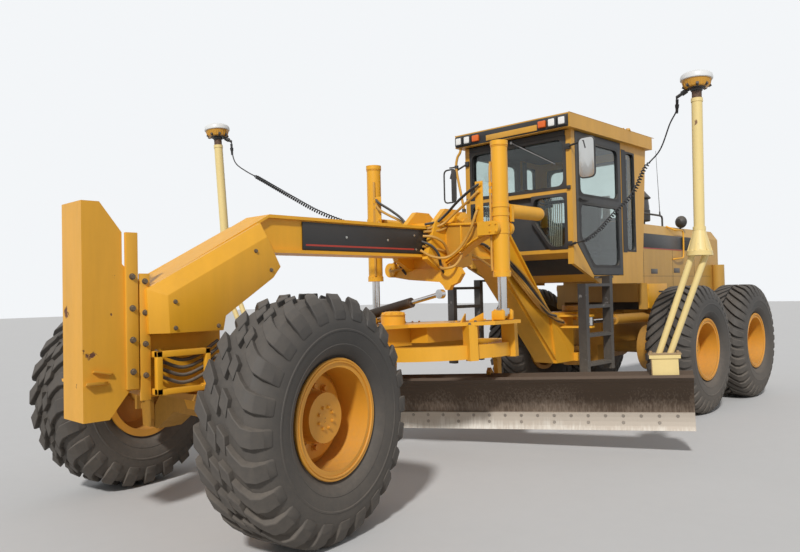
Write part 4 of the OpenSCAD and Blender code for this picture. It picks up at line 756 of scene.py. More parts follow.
for side, name in hands:
    trimmings = bmesh.new()
    x, y = saddle_x, side * lift_y
    for low, high, radius in barrel_bands:
        bar(trimmings, (x, y, low), (x, y, high), radius, 40)
    for out, over in ringed(8, gland_circle, 0.5):
        hexagon(trimmings, (x + out, y + over, barrel_low + 0.044), (0, 0, 1), 0.012, 0.009)
    piece(f"lift_trim_{name}", trimmings, machine_yellow, f"lift_cylinder_{name}")
    beside = [(x + pipe_out.x * out, side * (lift_y + pipe_out.y * out), z) for out, z in pipe_climb]
    pipe(f"lift_pipe_{name}", beside, 0.011, pipe_yellow, f"lift_cylinder_{name}")
    unions = bmesh.new()
    for z in (2.36, 2.42):
        union_at = Vector((x + pipe_out.x, side * (lift_y + pipe_out.y), z))
        bar(unions, union_at - Vector((0, 0, 0.018)), union_at + Vector((0, 0, 0.018)), 0.0145, 6)
    piece(f"lift_unions_{name}", unions, machine_yellow, f"lift_cylinder_{name}")

# Oil pipes: steel tubes, painted over with the machine, and two black rubber hoses that leave the
# beam's flank, pass round the saddle and end at unions on its arms, its bosses or the leg.
saddle_lines = [
    [(1.62, 0.160, 2.10), (1.50, 0.205, 2.13), (1.46, 0.290, 2.20), (1.47, 0.420, 2.29),
     (1.475, 0.580, 2.38), (1.452, 0.645, 2.42), (1.438, 0.660, 2.425)],
    [(1.60, 0.165, 2.06), (1.47, 0.230, 2.10), (1.43, 0.330, 2.18), (1.45, 0.470, 2.25),
     (1.465, 0.580, 2.31), (1.452, 0.635, 2.355), (1.438, 0.650, 2.365)],
    [(1.66, 0.165, 1.99), (1.60, 0.235, 1.98), (1.50, 0.270, 1.93), (1.42, 0.255, 1.84), (1.38, 0.235, 1.76),
     (1.36, 0.222, 1.70)],
    [(1.68, 0.165, 1.94), (1.62, 0.230, 1.90), (1.56, 0.262, 1.82), (1.52, 0.252, 1.72), (1.47, 0.240, 1.66),
     (1.42, 0.228, 1.62)],
    [(1.64, 0.160, 2.03), (1.44, 0.225, 2.06), (1.20, 0.225, 2.21), (1.05, 0.190, 2.16), (0.95, 0.150, 2.06),
     (0.80, 0.130, 1.96)],
    [(1.66, 0.160, 1.90), (1.45, 0.222, 1.86), (1.20, 0.222, 1.82), (1.00, 0.190, 1.83), (0.80, 0.145, 1.80),
     (0.60, 0.140, 1.72)],
    [(1.70, 0.165, 1.86), (1.62, 0.240, 1.80), (1.53, 0.330, 1.79), (1.47, 0.420, 1.86), (1.45, 0.500, 1.96),
     (1.46, 0.570, 2.05), (1.455, 0.610, 2.15), (1.438, 0.630, 2.21)],
    [(1.46, 0.215, 1.74), (1.54, 0.270, 1.70), (1.56, 0.350, 1.69), (1.52, 0.410, 1.71), (1.46, 0.420, 1.76),
     (1.40, 0.400, 1.81), (1.397, 0.380, 1.835)],
]
for k, route in enumerate(saddle_lines):
    stuff = hose_black if k in (0, 3) else pipe_yellow
    for side, name in hands:
        routed = [(x, side * y, z) for x, y, z in route]
        pipe(f"saddle_pipe_{k}_{name}", routed, 0.0125, stuff, "front_body")

# Saddle arms: each is stiffened by welded flanges round a web darkened by oil, dust and painted shade, and
# carries a bent bracket whose bulkhead unions join the saddle's hoses to the cylinder's pipes.
arm_face = saddle_x + 0.060
bracket_face = arm_face + 0.042
flange_thick = 0.016
arm_rib = ((0.395, 1.868), (0.409, 1.875), (0.409, 2.085), (0.395, 2.087))
arm_web = ((0.222, 2.092), (0.655, 2.068), (0.655, 1.994), (0.530, 1.943), (0.222, 1.776))
arm_flanges, shaded_arm_webs = bmesh.new(), bmesh.new()
for (y0, z0), (y1, z1), rise in (
    ((0.215, 2.112), (0.655, 2.086), -flange_thick),
    ((0.215, 1.752), (0.535, 1.924), flange_thick),
    ((0.535, 1.924), (0.655, 1.974), flange_thick),
):
    strip = [(arm_face, y0, z0), (arm_face, y1, z1), (arm_face, y1, z1 + rise), (arm_face, y0, z0 + rise)]
    plate(arm_flanges, strip, (0.020, 0, 0), edge=0.003)
plate(arm_flanges, [(arm_face, y, z) for y, z in arm_rib], (0.014, 0, 0), edge=0.002)
# A thin plate over each web in the darker paint: painted shade in the arm's recess, with oil stains.
plate(shaded_arm_webs, [(arm_face, y, z) for y, z in arm_web], (0.0012, 0, 0), edge=0)
block(arm_flanges, (arm_face - 0.030, 0.590, 2.086), (bracket_face, 0.670, 2.096), edge=0.003)
block(arm_flanges, (arm_face + 0.034, 0.600, 2.090), (bracket_face, 0.685, 2.455), edge=0.003)
for y, z in ((0.660, 2.425), (0.650, 2.365), (0.630, 2.215)):
    hexagon(arm_flanges, (bracket_face, y, z), (1, 0, 0), 0.034, 0.016)
piece("arm_flanges", both_ways(arm_flanges), machine_yellow, "front_body")
piece("shaded_arm_webs", both_ways(shaded_arm_webs), shaded_yellow, "front_body")

# Leg lines: seven on each side run down the beam's leg from the saddle to the hitch, painted
# steel pipes and rubber hoses by turns, bundled three deep and none of them quite straight.
for k in range(7):
    deep = k % 3
    sway = 0.02 * ((k * 7) % 5 - 2)
    for side, name in hands:
        start = Vector((0.42 + 0.05 * k, side * (0.134 + 0.012 * deep), 1.86 + 0.012 * k))
        low = Vector((-0.55 + 0.045 * k, side * (0.150 + 0.014 * deep), 1.12 + 0.020 * k))
        pipe(f"leg_hose_{k}_{name}", [
            start + Vector((0.16, 0, 0.04)), start, start.lerp(low, 0.3) + Vector((sway, side * 0.02, 0.03)),
            start.lerp(low, 0.6) + Vector((0, side * 0.03, -sway)), low + Vector((0.02, side * 0.01, 0.02)),
            low + Vector((-0.16, side * 0.03, -0.04)),
        ], 0.0135, hose_black if k % 2 else pipe_yellow, "front_body")

# Centre shift: a cylinder between the drawbar and the link bar, of bare steel that grease has
# stained, as are the balls and the socket of the other linkages.
greasy_steel = finish("greasy steel", (0.085, 0.055, 0.035), under=(0.03, 0.02, 0.015), chips=0.35, dust=0.5,
                      grain=14, sheen=0.42, metal=0.3, dust_tone=(0.06, 0.045, 0.03))
dress(greasy_steel, "shift_barrel", "tie_ball", "drawbar_ball", "drawbar_socket")

# Drawbar: a flat welded frame over the circle, its decks scraped to rust where soil lies, with
# gussets, the circle drive's bolted lid and split caps over the lift rods' balls.
lid_profile = [
    (0.0, 0.112), (0.006, 0.112), (0.012, 0.100), (0.030, 0.078), (0.034, 0.050), (0.034, 0.0005),
]
lid_circle = 0.095
deck_low = 1.10
scrape = [
    (1.56, 0.36), (1.46, 0.345), (1.36, 0.36), (1.27, 0.42), (1.24, 0.52), (1.27, 0.63), (1.37, 0.70),
    (1.50, 0.67), (1.58, 0.55),
]


def upright(mesh):
    """Stands a form that was spun round the Y axis on its end, along Z."""
    bmesh.ops.rotate(
        mesh, cent=(0, 0, 0), matrix=Matrix.Rotation(math.radians(90), 3, "X"), verts=mesh.verts[:],
    )


def on_deck(x, y):
    """Where the drawbar's top lies at a place seen from above, and the way it faces."""
    return struck("drawbar", (x, y, 1.6), (0, 0, -1))


decks = bmesh.new()
drive_place, _ = on_deck(1.90, 0.0)
revolve(decks, lid_profile, 48)
upright(decks)
bmesh.ops.translate(decks, vec=drive_place, verts=decks.verts[:])
for x, y in ringed(10, lid_circle):
    hexagon(decks, drive_place + Vector((x, y, 0.012)), (0, 0, 1), 0.018, 0.012)
for x in (1.10, 1.20, 1.42, 1.52):
    for y in (0.42, 0.62, -0.42, -0.62):
        spot, facing = on_deck(x, y)
        if spot.z > deck_low:
            hexagon(decks, spot, facing, 0.020, 0.012)
for x, y, long, turn in ((1.50, 0.50, 0.20, 28), (1.44, 0.66, 0.15, -20), (1.22, -0.55, 0.20, 40)):
    spot, _ = on_deck(x, y)
    way = Vector((math.cos(math.radians(turn)), math.sin(math.radians(turn)), 0)) * long
    plate(decks, [spot, spot + way, spot + way + Vector((0, 0, 0.012)), spot + Vector((0, 0, 0.075))],
          Vector((-way.y, way.x, 0)).normalized() * 0.012, edge=0.002)
piece("drawbar_fittings", decks, machine_yellow, "drawbar_body")
scraped = finish("scraped deck", (0.46, 0.22, 0.07), under=(0.10, 0.035, 0.02), chips=1.1, dust=0.5,
                 grain=4.5, sheen=0.7, dust_tone=(0.32, 0.16, 0.10), fade=0.3)
patches = bmesh.new()
for side in (1, -1):
    corners = [on_deck(x, side * y)[0] + Vector((0, 0, 0.001)) for x, y in scrape]
    plate(patches, corners, (0, 0, 0.0015), edge=0)
piece("drawbar_scrapes", patches, scraped, "drawbar_body")
for side, name in hands:
    rod_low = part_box(f"lift_rod_{name}")[0][2]
    eye = Vector((saddle_x, side * lift_y, rod_low + 0.045))
    caps = bmesh.new()
    for x in (-0.062, 0.062):
        block(caps, eye + Vector((x - 0.016, -0.062, -0.048)), eye + Vector((x + 0.016, 0.062, 0.036)),
              edge=0.010)
    block(caps, eye + Vector((-0.078, -0.070, -0.056)), eye + Vector((0.078, -0.052, 0.030)), edge=0.006)
    for x in (-0.062, 0.062):
        for y in (-0.040, 0.040):
            hexagon(caps, eye + Vector((x, y, 0.036)), (0, 0, 1), 0.020, 0.008)
    piece(f"ball_cap_{name}", caps, machine_yellow, "drawbar_body")

# Circle: a rolled ring that turns under the drawbar in five cast shoes. A pair of bolts holds each
# shoe, and the ring itself is the frame's own solid in the machine's paint.
circle_x, shoe_reach = 1.335, 0.80
shoe_bolts = bmesh.new()
for angle in (65, 105, -65, -105, 0):
    for shift in (-2.0, 2.0):
        turn = math.radians(angle + shift)
        spot, facing = on_deck(circle_x + shoe_reach * math.cos(turn), shoe_reach * math.sin(turn))
        hexagon(shoe_bolts, spot, facing, 0.022, 0.014)
piece("shoe_bolts", shoe_bolts, nut_steel, "drawbar_body")

# Blade: a rolled plate of high-carbon steel, scoured bare, stained by soil and darker towards the top with
# painted shade, with a bolted, ground-bright cutting edge in sections and an end bit. Plough bolts hold it
# in two rows.
edge_low, edge_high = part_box("cutting_edge")
edge_middle = (Vector(edge_low) + Vector(edge_high)) / 2
blade_half = 2.2
bolt_pitch, bolt_inset = 0.1524, 0.143
upper_row, lower_row = 0.285, 0.225


def scoured(name, clean, stained_and_shaded, lowest, highest, stretch, rough, metal):
    """Steel worn by soil: long upright scratches and brown stains, darker towards the top with painted
    shade, over a pale foot.
    """
    made = bpy.data.materials.new(name)
    made.use_nodes = True
    tree = made.node_tree
    node, link = tree.nodes.new, tree.links.new
    shader = tree.nodes["Principled BSDF"]
    shader.inputs["Metallic"].default_value = metal
    where = node("ShaderNodeTexCoord")
    parts = node("ShaderNodeSeparateXYZ")
    link(where.outputs["Object"], parts.inputs[0])
    masks = []
    for scale, detail, pull in ((1.0, 5, stretch), (2.2, 6, (1, 1, 0.5)), (34, 3, (1, 1, 0.6))):
        spread, noise = node("ShaderNodeMapping"), node("ShaderNodeTexNoise")
        spread.inputs["Scale"].default_value = pull
        noise.inputs["Scale"].default_value, noise.inputs["Detail"].default_value = scale, detail
        link(where.outputs["Object"], spread.inputs["Vector"])
        link(spread.outputs["Vector"], noise.inputs["Vector"])
        masks.append(noise.outputs["Fac"])
    # Painted shade: the colour darkens from the lowest height to the highest, on top of the noise stains.
    height = node("ShaderNodeMapRange")
    height.inputs["From Min"].default_value, height.inputs["From Max"].default_value = lowest, highest
    link(parts.outputs["Z"], height.inputs["Value"])
    total = node("ShaderNodeMath")
    total.operation = "ADD"
    link(masks[0], total.inputs[0])
    link(masks[1], total.inputs[1])
    lifted = node("ShaderNodeMath")
    lifted.operation = "MULTIPLY_ADD"
    link(height.outputs["Result"], lifted.inputs[0])
    lifted.inputs[1].default_value = 0.9
    link(total.outputs[0], lifted.inputs[2])
    ramp = node("ShaderNodeMapRange")
    ramp.inputs["From Min"].default_value, ramp.inputs["From Max"].default_value = 0.95, 1.55
    link(lifted.outputs[0], ramp.inputs["Value"])
    tone = node("ShaderNodeMix")
    tone.data_type = "RGBA"
    tone.inputs[6].default_value, tone.inputs[7].default_value = (*clean, 1), (*stained_and_shaded, 1)
    link(ramp.outputs["Result"], tone.inputs[0])
    link(tone.outputs[2], shader.inputs["Base Color"])
    roughness = node("ShaderNodeMapRange")
    roughness.inputs["To Min"].default_value, roughness.inputs["To Max"].default_value = rough, rough + 0.3
    link(total.outputs[0], roughness.inputs["Value"])
    link(roughness.outputs["Result"], shader.inputs["Roughness"])
    raised = node("ShaderNodeBump")
    raised.inputs["Distance"].default_value = 0.0006
    link(masks[0], raised.inputs["Height"])
    link(raised.outputs["Normal"], shader.inputs["Normal"])
    return made


def joint_way(name, toward):
    """A joint's axis in the frame, in whichever sense points more toward a given way."""
    axis = Vector(next(joint for joint in frame["joints"] if joint["name"] == name)["axis"])
    return axis if axis.dot(Vector(toward)) > 0 else -axis


# The moldboard's stained colour is also its painted shade, reached towards the top of the blade.
mould_steel = scoured(
    "scoured blade steel", clean=(0.30, 0.235, 0.18), stained_and_shaded=(0.10, 0.068, 0.046), lowest=0.15,
    highest=0.80, stretch=(70, 70, 1.2), rough=0.38, metal=0.45,
)
edge_steel = scoured(
    "ground edge steel", clean=(0.74, 0.70, 0.62), stained_and_shaded=(0.52, 0.45, 0.37), lowest=0.12,
    highest=0.34, stretch=(60, 60, 2.0), rough=0.30, metal=0.35,
)
dress(mould_steel, "moldboard")
dress(edge_steel, "cutting_edge")
blade_way = joint_way("blade_side_shift", (0, 1, 0))
blade_ahead = blade_way.cross(Vector((0, 0, 1))).normalized()
worn_bolt = finish("worn bolt", (0.30, 0.27, 0.24), chips=0.3, dust=0.3, grain=40, sheen=0.4, metal=0.7)
plough_bolts = bmesh.new()
for k in range(28):
    along = -blade_half + bolt_inset + bolt_pitch * k
    for row in (upper_row,) if k % 2 else (upper_row, lower_row):
        start = edge_middle + blade_way * along + blade_ahead * 0.9
        start.z += row - edge_middle.z
        spot, facing = struck("cutting_edge", start, -blade_ahead)
        turn = facing.to_track_quat("Z", "Y").to_matrix().to_4x4()
        bmesh.ops.create_cone(
            plough_bolts, cap_ends=True, segments=18, radius1=0.0165, radius2=0.0130, depth=0.007,
            matrix=Matrix.Translation(spot) @ turn @ Matrix.Translation((0, 0, 0.001)),
        )
piece("plough_bolts", plough_bolts, worn_bolt, "blade_body")

# Masts: welded tubes that carry the grade receivers, one at each end of the blade, painted cream.
# Each stands on a flanged cone with ribs and two struts, on a bracket bolted to the blade's back.
mast_cream = finish("mast cream", (0.80, 0.62, 0.26), under=(0.22, 0.12, 0.06), chips=0.3, dust=0.22,
                    grain=9, sheen=0.36, dust_tone=(0.40, 0.30, 0.18), fade=0.10)
dress(mast_cream, "masts")
blade_up = joint_way("circle_turn", (0, 0, 1))
blade_fore = blade_way.cross(blade_up).normalized()
circle_z = 1.05
blade_place = Matrix((blade_fore, blade_way, blade_up)).transposed().to_4x4()
blade_place.translation = Vector((circle_x, 0, circle_z))
blade_slid = 0.068
mast_lean, mast_r = math.radians(2.5), 0.044
foot_z, cone_z, mast_top = 0.84, 1.675, 3.175
mast_ahead, foot_out, cone_out = 0.045, 1.975, 2.31
mast_long = {"left": mast_top - cone_z - 0.175, "right": mast_top - cone_z}
rib_outline = ((0.050, 0.20), (0.100, 0.028), (0.080, 0.028), (0.046, 0.15))
neck_steel = finish("rusty thread", (0.19, 0.10, 0.055), under=(0.06, 0.03, 0.02), chips=0.5, dust=0.3,
                    grain=30, sheen=0.6)
bracket_brown = finish("bare bracket", (0.33, 0.20, 0.075), under=(0.10, 0.05, 0.03), chips=0.6, dust=0.4,
                       grain=7, sheen=0.6)
mast_tips = {}
for side, name in hands:
    high = mast_long[name]
    cone_at = (mast_ahead, blade_slid + side * cone_out, cone_z - circle_z)
    foot_at = (mast_ahead, blade_slid + side * foot_out, foot_z - circle_z)
    on_foot = blade_place @ Matrix.Translation(foot_at)
    on_mast = blade_place @ Matrix.Translation(cone_at) @ Matrix.Rotation(-side * mast_lean, 4, "X")
    mast_tips[name] = on_mast @ Matrix.Translation((0, 0, high))
    ribs = bmesh.new()
    for x, y in ringed(6, 1, 0.5):
        rib = [(x * out, y * out, z) for out, z in rib_outline]
        plate(ribs, rib, Vector((-y, x, 0)) * 0.008, edge=0.001)
    for low, high_end, radius in (
        (-0.012, 0.004, 0.106), (0.20, 0.232, mast_r + 0.008), (high - 0.03, high, mast_r + 0.004),
    ):
        bar(ribs, (0, 0, low), (0, 0, high_end), radius, 40)
    for x, y in ringed(8, 0.088):
        hexagon(ribs, (x, y, 0.026), (0, 0, 1), 0.016, 0.010)
    bmesh.ops.transform(ribs, matrix=on_mast, verts=ribs.verts[:])
    piece(f"mast_ribs_{name}", ribs, mast_cream, "blade_body")
    thread = bmesh.new()
    for k in range(9):
        bar(thread, (0, 0, 0.004 + 0.0095 * k), (0, 0, 0.009 + 0.0095 * k), 0.0400, 28)
    bmesh.ops.transform(thread, matrix=mast_tips[name], verts=thread.verts[:])
    piece(f"mast_thread_{name}", thread, neck_steel, "blade_body")
    foot = bmesh.new()
    block(foot, (-0.082, -0.128, 0.0005), (0.098, 0.138, 0.012), edge=0.003)
    block(foot, (-0.050, -0.108, -0.190), (0.092, -0.102, -0.032), edge=0.002)
    for y in (-0.108, 0.112):
        for x in (-0.055, 0.075):
            hexagon(foot, (x, side * y, 0.012), (0, 0, 1), 0.024, 0.014)
    bmesh.ops.transform(foot, matrix=on_foot, verts=foot.verts[:])
    piece(f"mast_foot_{name}", foot, bracket_brown, "blade_body")

# Receivers: a white plastic dome that overhangs a ribbed amber lens, on a black base that screws
# on the mast's thread. The base has rubber bumpers and a plug in its side for the cable.
dome_white = finish("receiver white", (0.74, 0.74, 0.72), dust=0.25, chips=0, sheen=0.32, depth=0.0002,
                    fade=0.04)
lens_amber = finish("receiver amber", (0.62, 0.31, 0.035), dust=0.12, chips=0, sheen=0.16, depth=0.0002,
                    fade=0.05)
base_black = finish("receiver base", (0.03, 0.03, 0.03), dust=0.3, chips=0, sheen=0.45)
receiver_forms = {
    "lens": (lens_amber, [(0.092, 0.0005), (0.092, 0.090), (0.096, 0.100), (0.150, 0.118), (0.156, 0.1195),
                          (0.156, 0.0005)]),
    "dome": (dome_white, [(0.1555, 0.0005), (0.1555, 0.126), (0.160, 0.131), (0.178, 0.132), (0.198, 0.126),
                          (0.210, 0.112), (0.221, 0.085), (0.226, 0.065), (0.228, 0.040), (0.2285, 0.0005)]),
    "neck": (base_black, [(0.0005, 0.0005), (0.0005, 0.036), (0.060, 0.0375), (0.064, 0.046), (0.080, 0.048),
                          (0.084, 0.070), (0.0925, 0.074), (0.0925, 0.0005)]),
}
lens_ribs, neck_bumpers = 28, 8
for side in cable_routes:
    for part, (stuff, profile) in receiver_forms.items():
        form = bmesh.new()
        revolve(form, profile, 56)
        upright(form)
        if part == "lens":
            for x, y in ringed(lens_ribs, 1):
                bar(form, (0.103 * x, 0.103 * y, 0.100), (0.1175 * x, 0.1175 * y, 0.150), 0.0026, 6)
        bmesh.ops.recalc_face_normals(form, faces=form.faces[:])
        if part == "neck":
            for x, y in ringed(neck_bumpers, 1):
                bar(form, (0.092 * x, 0.092 * y, 0.098), (0.113 * x, 0.113 * y, 0.108), 0.013, 12)
        bmesh.ops.transform(form, matrix=mast_tips[side], verts=form.verts[:])
        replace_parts(piece(f"receiver_{part}_{side}", form, stuff, "blade_body"), "receivers")
    leaves, onward = (Vector(p) for p in cable_routes[side][0][:2])
    heart = mast_tips[side] @ Vector((0, 0, 0.125))
    way = (onward - leaves).normalized()
    out = (leaves - heart).normalized()
    stem = bmesh.new()
    bar(stem, heart + out * 0.08, leaves, 0.014, 24)
    bar(stem, heart + out * 0.095, heart + out * 0.140, 0.022, 24)
    bar(stem, leaves - out * 0.02, leaves + way * 0.004, 0.0115, 24)
    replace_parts(piece(f"receiver_plug_{side}", stem, base_black, "blade_body"), "receivers")

# Cab: folded and welded steel on rubber mounts, its paint faded, dusty and darkened with painted shade, and
# a black visor over the windscreen. Inside it is lined with black foam, and a ribbed mat covers the floor.
cab_yellow = finish("cab yellow", (0.62, 0.32, 0.040), under=(0.10, 0.06, 0.03), chips=0.1, dust=0.28,
                    grain=6, sheen=0.4, dust_tone=(0.28, 0.20, 0.12), fade=0.16)
dress(cab_yellow, "cab_shell")
lining = finish("cab lining", (0.022, 0.023, 0.024), dust=0.25, chips=0, sheen=0.7, grain=26)
mat_z = 1.612
cowl_outline = (
    (-0.205, 2.481), (0.205, 2.481), (0.205, 2.20), (0.425, 1.905), (0.425, 1.862), (-0.425, 1.862),
    (-0.425, 1.905), (-0.205, 2.20),
)
lined = bmesh.new()
block(lined, (-1.58, -0.655, 3.118), (-0.135, 0.655, 3.139), edge=0.006)
block(lined, (-1.60, -0.655, 1.601), (-0.62, 0.655, mat_z), edge=0.003)
for k in range(16):
    x = -1.58 + 0.06 * k
    block(lined, (x, -0.64, mat_z), (-1.555 + 0.06 * k, 0.64, mat_z + 0.005), edge=0)
block(lined, (-1.584, -0.655, 1.62), (-1.566, 0.655, 2.29), edge=0.004)
for side in (1, -1):
    block(lined, (-1.56, side * 0.645 - 0.008, 1.62), (-1.16, side * 0.645 + 0.008, 1.885), edge=0.003)
    block(lined, (-0.150, side * 0.655 - 0.020, 1.90), (-0.136, side * 0.655 + 0.020, 3.11), edge=0.004)
    block(lined, (-1.240, side * 0.640 - 0.010, 1.62), (-1.150, side * 0.640 + 0.010, 3.11), edge=0.004)
piece("cab_lining", lined, lining, "rear_body")
cowl = bmesh.new()
plate(cowl, [(-0.118, y, z) for y, z in cowl_outline], (-0.012, 0, 0), edge=0.002)
# A black sheet over the cab's lower front face: painted shade under the cab, with the dark hoses there.
toe_low, _ = struck("cab_shell", (0.5, 0, 1.64), (-1, 0, 0))
toe_high, toe_face = struck("cab_shell", (0.5, 0, 1.80), (-1, 0, 0))
toe_corners = ((toe_low, -0.65), (toe_low, 0.65), (toe_high, 0.65), (toe_high, -0.65))
toe_board_shade = [place + Vector((0, y, 0)) + toe_face * 0.001 for place, y in toe_corners]
plate(cowl, toe_board_shade, toe_face * 0.004, edge=0.001)
piece("cab_front_cowl", cowl, lining, "rear_body")
visor = bmesh.new()
block(visor, (0.0456, -0.74, 3.147), (0.0505, 0.74, 3.276), edge=0.002)
block(visor, (-0.0645, -0.63, 3.084), (-0.052, 0.63, 3.138), edge=0.003)
piece("cab_visor", visor, lining, "rear_body")
roof_top = 3.2905
trim = bmesh.new()
block(trim, (0.0508, -0.30, 3.160), (0.060, 0.37, 3.222), edge=0.003)
block(trim, (-1.92, -0.757, 3.288), (0.050, -0.745, roof_top), edge=0)
block(trim, (-1.92, 0.745, 3.288), (0.050, 0.757, roof_top), edge=0)
for side in (1, -1):
    for rear, front in ((-1.30, -1.24), (-0.50, -0.44)):
        block(trim, (rear, side * 0.45 - 0.012, roof_top), (front, side * 0.45 + 0.012, 3.325), edge=0.004)
piece("cab_trim", trim, cab_yellow, "rear_body")

# Windows: flat safety glass, faintly green, set in strips of black rubber whose inner corners are
# rounded. A black strip also covers the gap between each side pane and its door.
glass = bpy.data.materials.new("safety glass")
glass.use_nodes = True
shader = glass.node_tree.nodes["Principled BSDF"]
for socket, value in (
    ("Base Color", (0.70, 0.78, 0.76, 1)), ("Roughness", 0.03), ("IOR", 1.46), ("Transmission Weight", 1.0),
):
    shader.inputs[socket].default_value = value
dress(glass, "cab_glass", "door_glass_left", "door_glass_right")
rubber_seal = finish("window seal", (0.016, 0.016, 0.017), dust=0.35, chips=0, sheen=0.55, grain=20)


def rounded(corners, cut, steps=6):
    """An outline whose corners are rounded off over a length of each edge."""
    line = []
    for before, corner, after in zip(corners[-1:] + corners[:-1], corners, corners[1:] + corners[:1]):
        a = corner + (before - corner).normalized() * cut
        b = corner + (after - corner).normalized() * cut
        for step in range(steps + 1):
            t = step / steps
            line.append(a * (1 - t) ** 2 + corner * 2 * t * (1 - t) + b * t ** 2)
    return line


def seal(mesh, corners, width, cut, through, over=0.006):
    """A flat ring round an opening, square outside and rounded inside, pushed through by an offset."""
    corners, through = [Vector(c) for c in corners], Vector(through)
    nexts = corners[1:] + corners[:1]
    turns = [(b - a).cross(c - b) for a, b, c in zip(corners, nexts, corners[2:] + corners[:2])]
    face_way = sum(turns, Vector()).normalized()

    def moved(by):
        made = []
        for before, corner, after in zip(corners[-1:] + corners[:-1], corners, nexts):
            first = face_way.cross((corner - before).normalized())
            second = face_way.cross((after - corner).normalized())
            made.append(corner + (first + second) * by / (1 + first.dot(second)))
        return made

    outer, inner = rounded(moved(-over), 0.012), rounded(moved(width), cut)
    layers = ((outer, -0.5), (outer, 0.42), (inner, 0.5), (inner, -0.5))
    loops = [[mesh.verts.new(place + through * share) for place in line] for line, share in layers]
    for one, other in zip(loops, loops[1:] + loops[:1]):
        for k in range(len(one)):
            mesh.faces.new((one[k - 1], one[k], other[k], other[k - 1]))
    bmesh.ops.recalc_face_normals(mesh, faces=mesh.faces[:])


glass_front, glass_side, glass_rear = -0.085, 0.682, -1.605
windscreen = ((-0.63, 2.53), (0.63, 2.53), (0.63, 3.08), (-0.63, 3.08))
corner_pane = ((0.20, 2.48), (0.63, 2.48), (0.63, 1.90), (0.42, 1.90), (0.20, 2.20))
side_pane = ((-1.475, 1.90), (-1.245, 1.90), (-1.245, 3.05), (-1.475, 3.05))
rear_window = ((-0.55, 2.30), (0.55, 2.30), (0.55, 3.02), (-0.55, 3.02))
seals = bmesh.new()
seal(seals, [(glass_front, y, z) for y, z in windscreen], 0.030, 0.085, (0.056, 0, 0))
for side in (1, -1):
    seal(seals, [(glass_front, side * y, z) for y, z in corner_pane], 0.026, 0.070, (0.056, 0, 0))
    seal(seals, [(x, side * glass_side, z) for x, z in side_pane], 0.014, 0.060, (0, 0.046, 0))
    block(seals, (-1.246, side * 0.702 - 0.0015, 1.885), (-1.152, side * 0.702 + 0.0015, 3.066), edge=0)
seal(seals, [(glass_rear, y, z) for y, z in rear_window], 0.030, 0.085, (0.050, 0, 0))
piece("cab_seals", seals, rubber_seal, "rear_body")

# Doors: black painted steel frames on rear hinges, with two rubber-set panes each, a lever handle
# outside and a grab bar inside.
door_black = finish("door black", (0.014, 0.014, 0.015), under=(0.12, 0.10, 0.08), chips=0.16, dust=0.3,
                    grain=10, sheen=0.4)
dress(door_black, "door_left", "door_right")
upper_pane = ((-1.077, 2.46), (-0.203, 2.46), (-0.203, 3.05), (-1.077, 3.05))
lower_pane = ((-0.203, 2.01), (-0.203, 2.39), (-1.077, 2.39), (-1.077, 1.71), (-0.473, 1.71))
for side, name in hands:
    fittings = bmesh.new()
    for pane in (upper_pane, lower_pane):
        seal(fittings, [(x, side * 0.683, z) for x, z in pane], 0.022, 0.075, (0, 0.044, 0))
    block(fittings, (-0.36, side * 0.712 - 0.012, 2.405), (-0.22, side * 0.712 + 0.012, 2.425), edge=0.006)
    block(fittings, (-0.25, side * 0.705 - 0.006, 2.395), (-0.21, side * 0.705 + 0.006, 2.435), edge=0.003)
    bar(fittings, (-1.00, side * 0.640, 2.425), (-0.30, side * 0.640, 2.425), 0.011)
    for x in (-1.00, -0.30):
        bar(fittings, (x, side * 0.640, 2.425), (x, side * 0.668, 2.425), 0.009)
    piece(f"door_fittings_{name}", fittings, rubber_seal, f"cab_door_{name}")

# Lamps: two square work lamps with a ribbed glass and a marker at each side of the visor, and a
# round lamp with a small knob beside it on the roof's left edge. Plastic cases held by a screw.
lamp_body, lamp_glass, markers = bmesh.new(), bmesh.new(), bmesh.new()
for y in (0.56, 0.68, -0.56, -0.68):
    block(lamp_body, (0.051, y - 0.054, 3.154), (0.083, y + 0.054, 3.262), edge=0.012, segments=3)
    block(lamp_glass, (0.060, y - 0.045, 3.163), (0.0865, y + 0.045, 3.253), edge=0.018, segments=4)
    for k in range(7):
        rib_y = y - 0.030 + 0.010 * k
        bar(lamp_glass, (0.0865, rib_y, 3.180), (0.0865, rib_y, 3.236), 0.0018, 6)
for y in (0.44, -0.44):
    block(markers, (0.051, y - 0.045, 3.175), (0.085, y + 0.045, 3.245), edge=0.008, segments=3)
lens_white = finish("lamp glass", (0.80, 0.80, 0.77), dust=0.12, chips=0, sheen=0.12, depth=0.0002,
                    fade=0.03)
orange = finish("marker orange", (0.72, 0.13, 0.012), dust=0.2, chips=0, sheen=0.2, fade=0.04)
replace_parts(piece("lamp_bodies", lamp_body, lining, "rear_body"), "work_lamps")
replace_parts(piece("lamp_glasses", lamp_glass, lens_white, "rear_body"), "work_lamps")
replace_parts(piece("lamp_markers", markers, orange, "rear_body"), "work_lamps")
side_lamp = bmesh.new()
bar(side_lamp, (-1.28, 0.735, roof_top), (-1.28, 0.735, 3.300), 0.030, 28)
bar(side_lamp, (-1.28, 0.735, 3.300), (-1.28, 0.735, 3.318), 0.026, 28, end_radius=0.020)
bar(side_lamp, (-1.16, 0.738, roof_top), (-1.16, 0.738, 3.304), 0.010, 16)
piece("roof_side_lamp", side_lamp, cab_yellow, "rear_body")

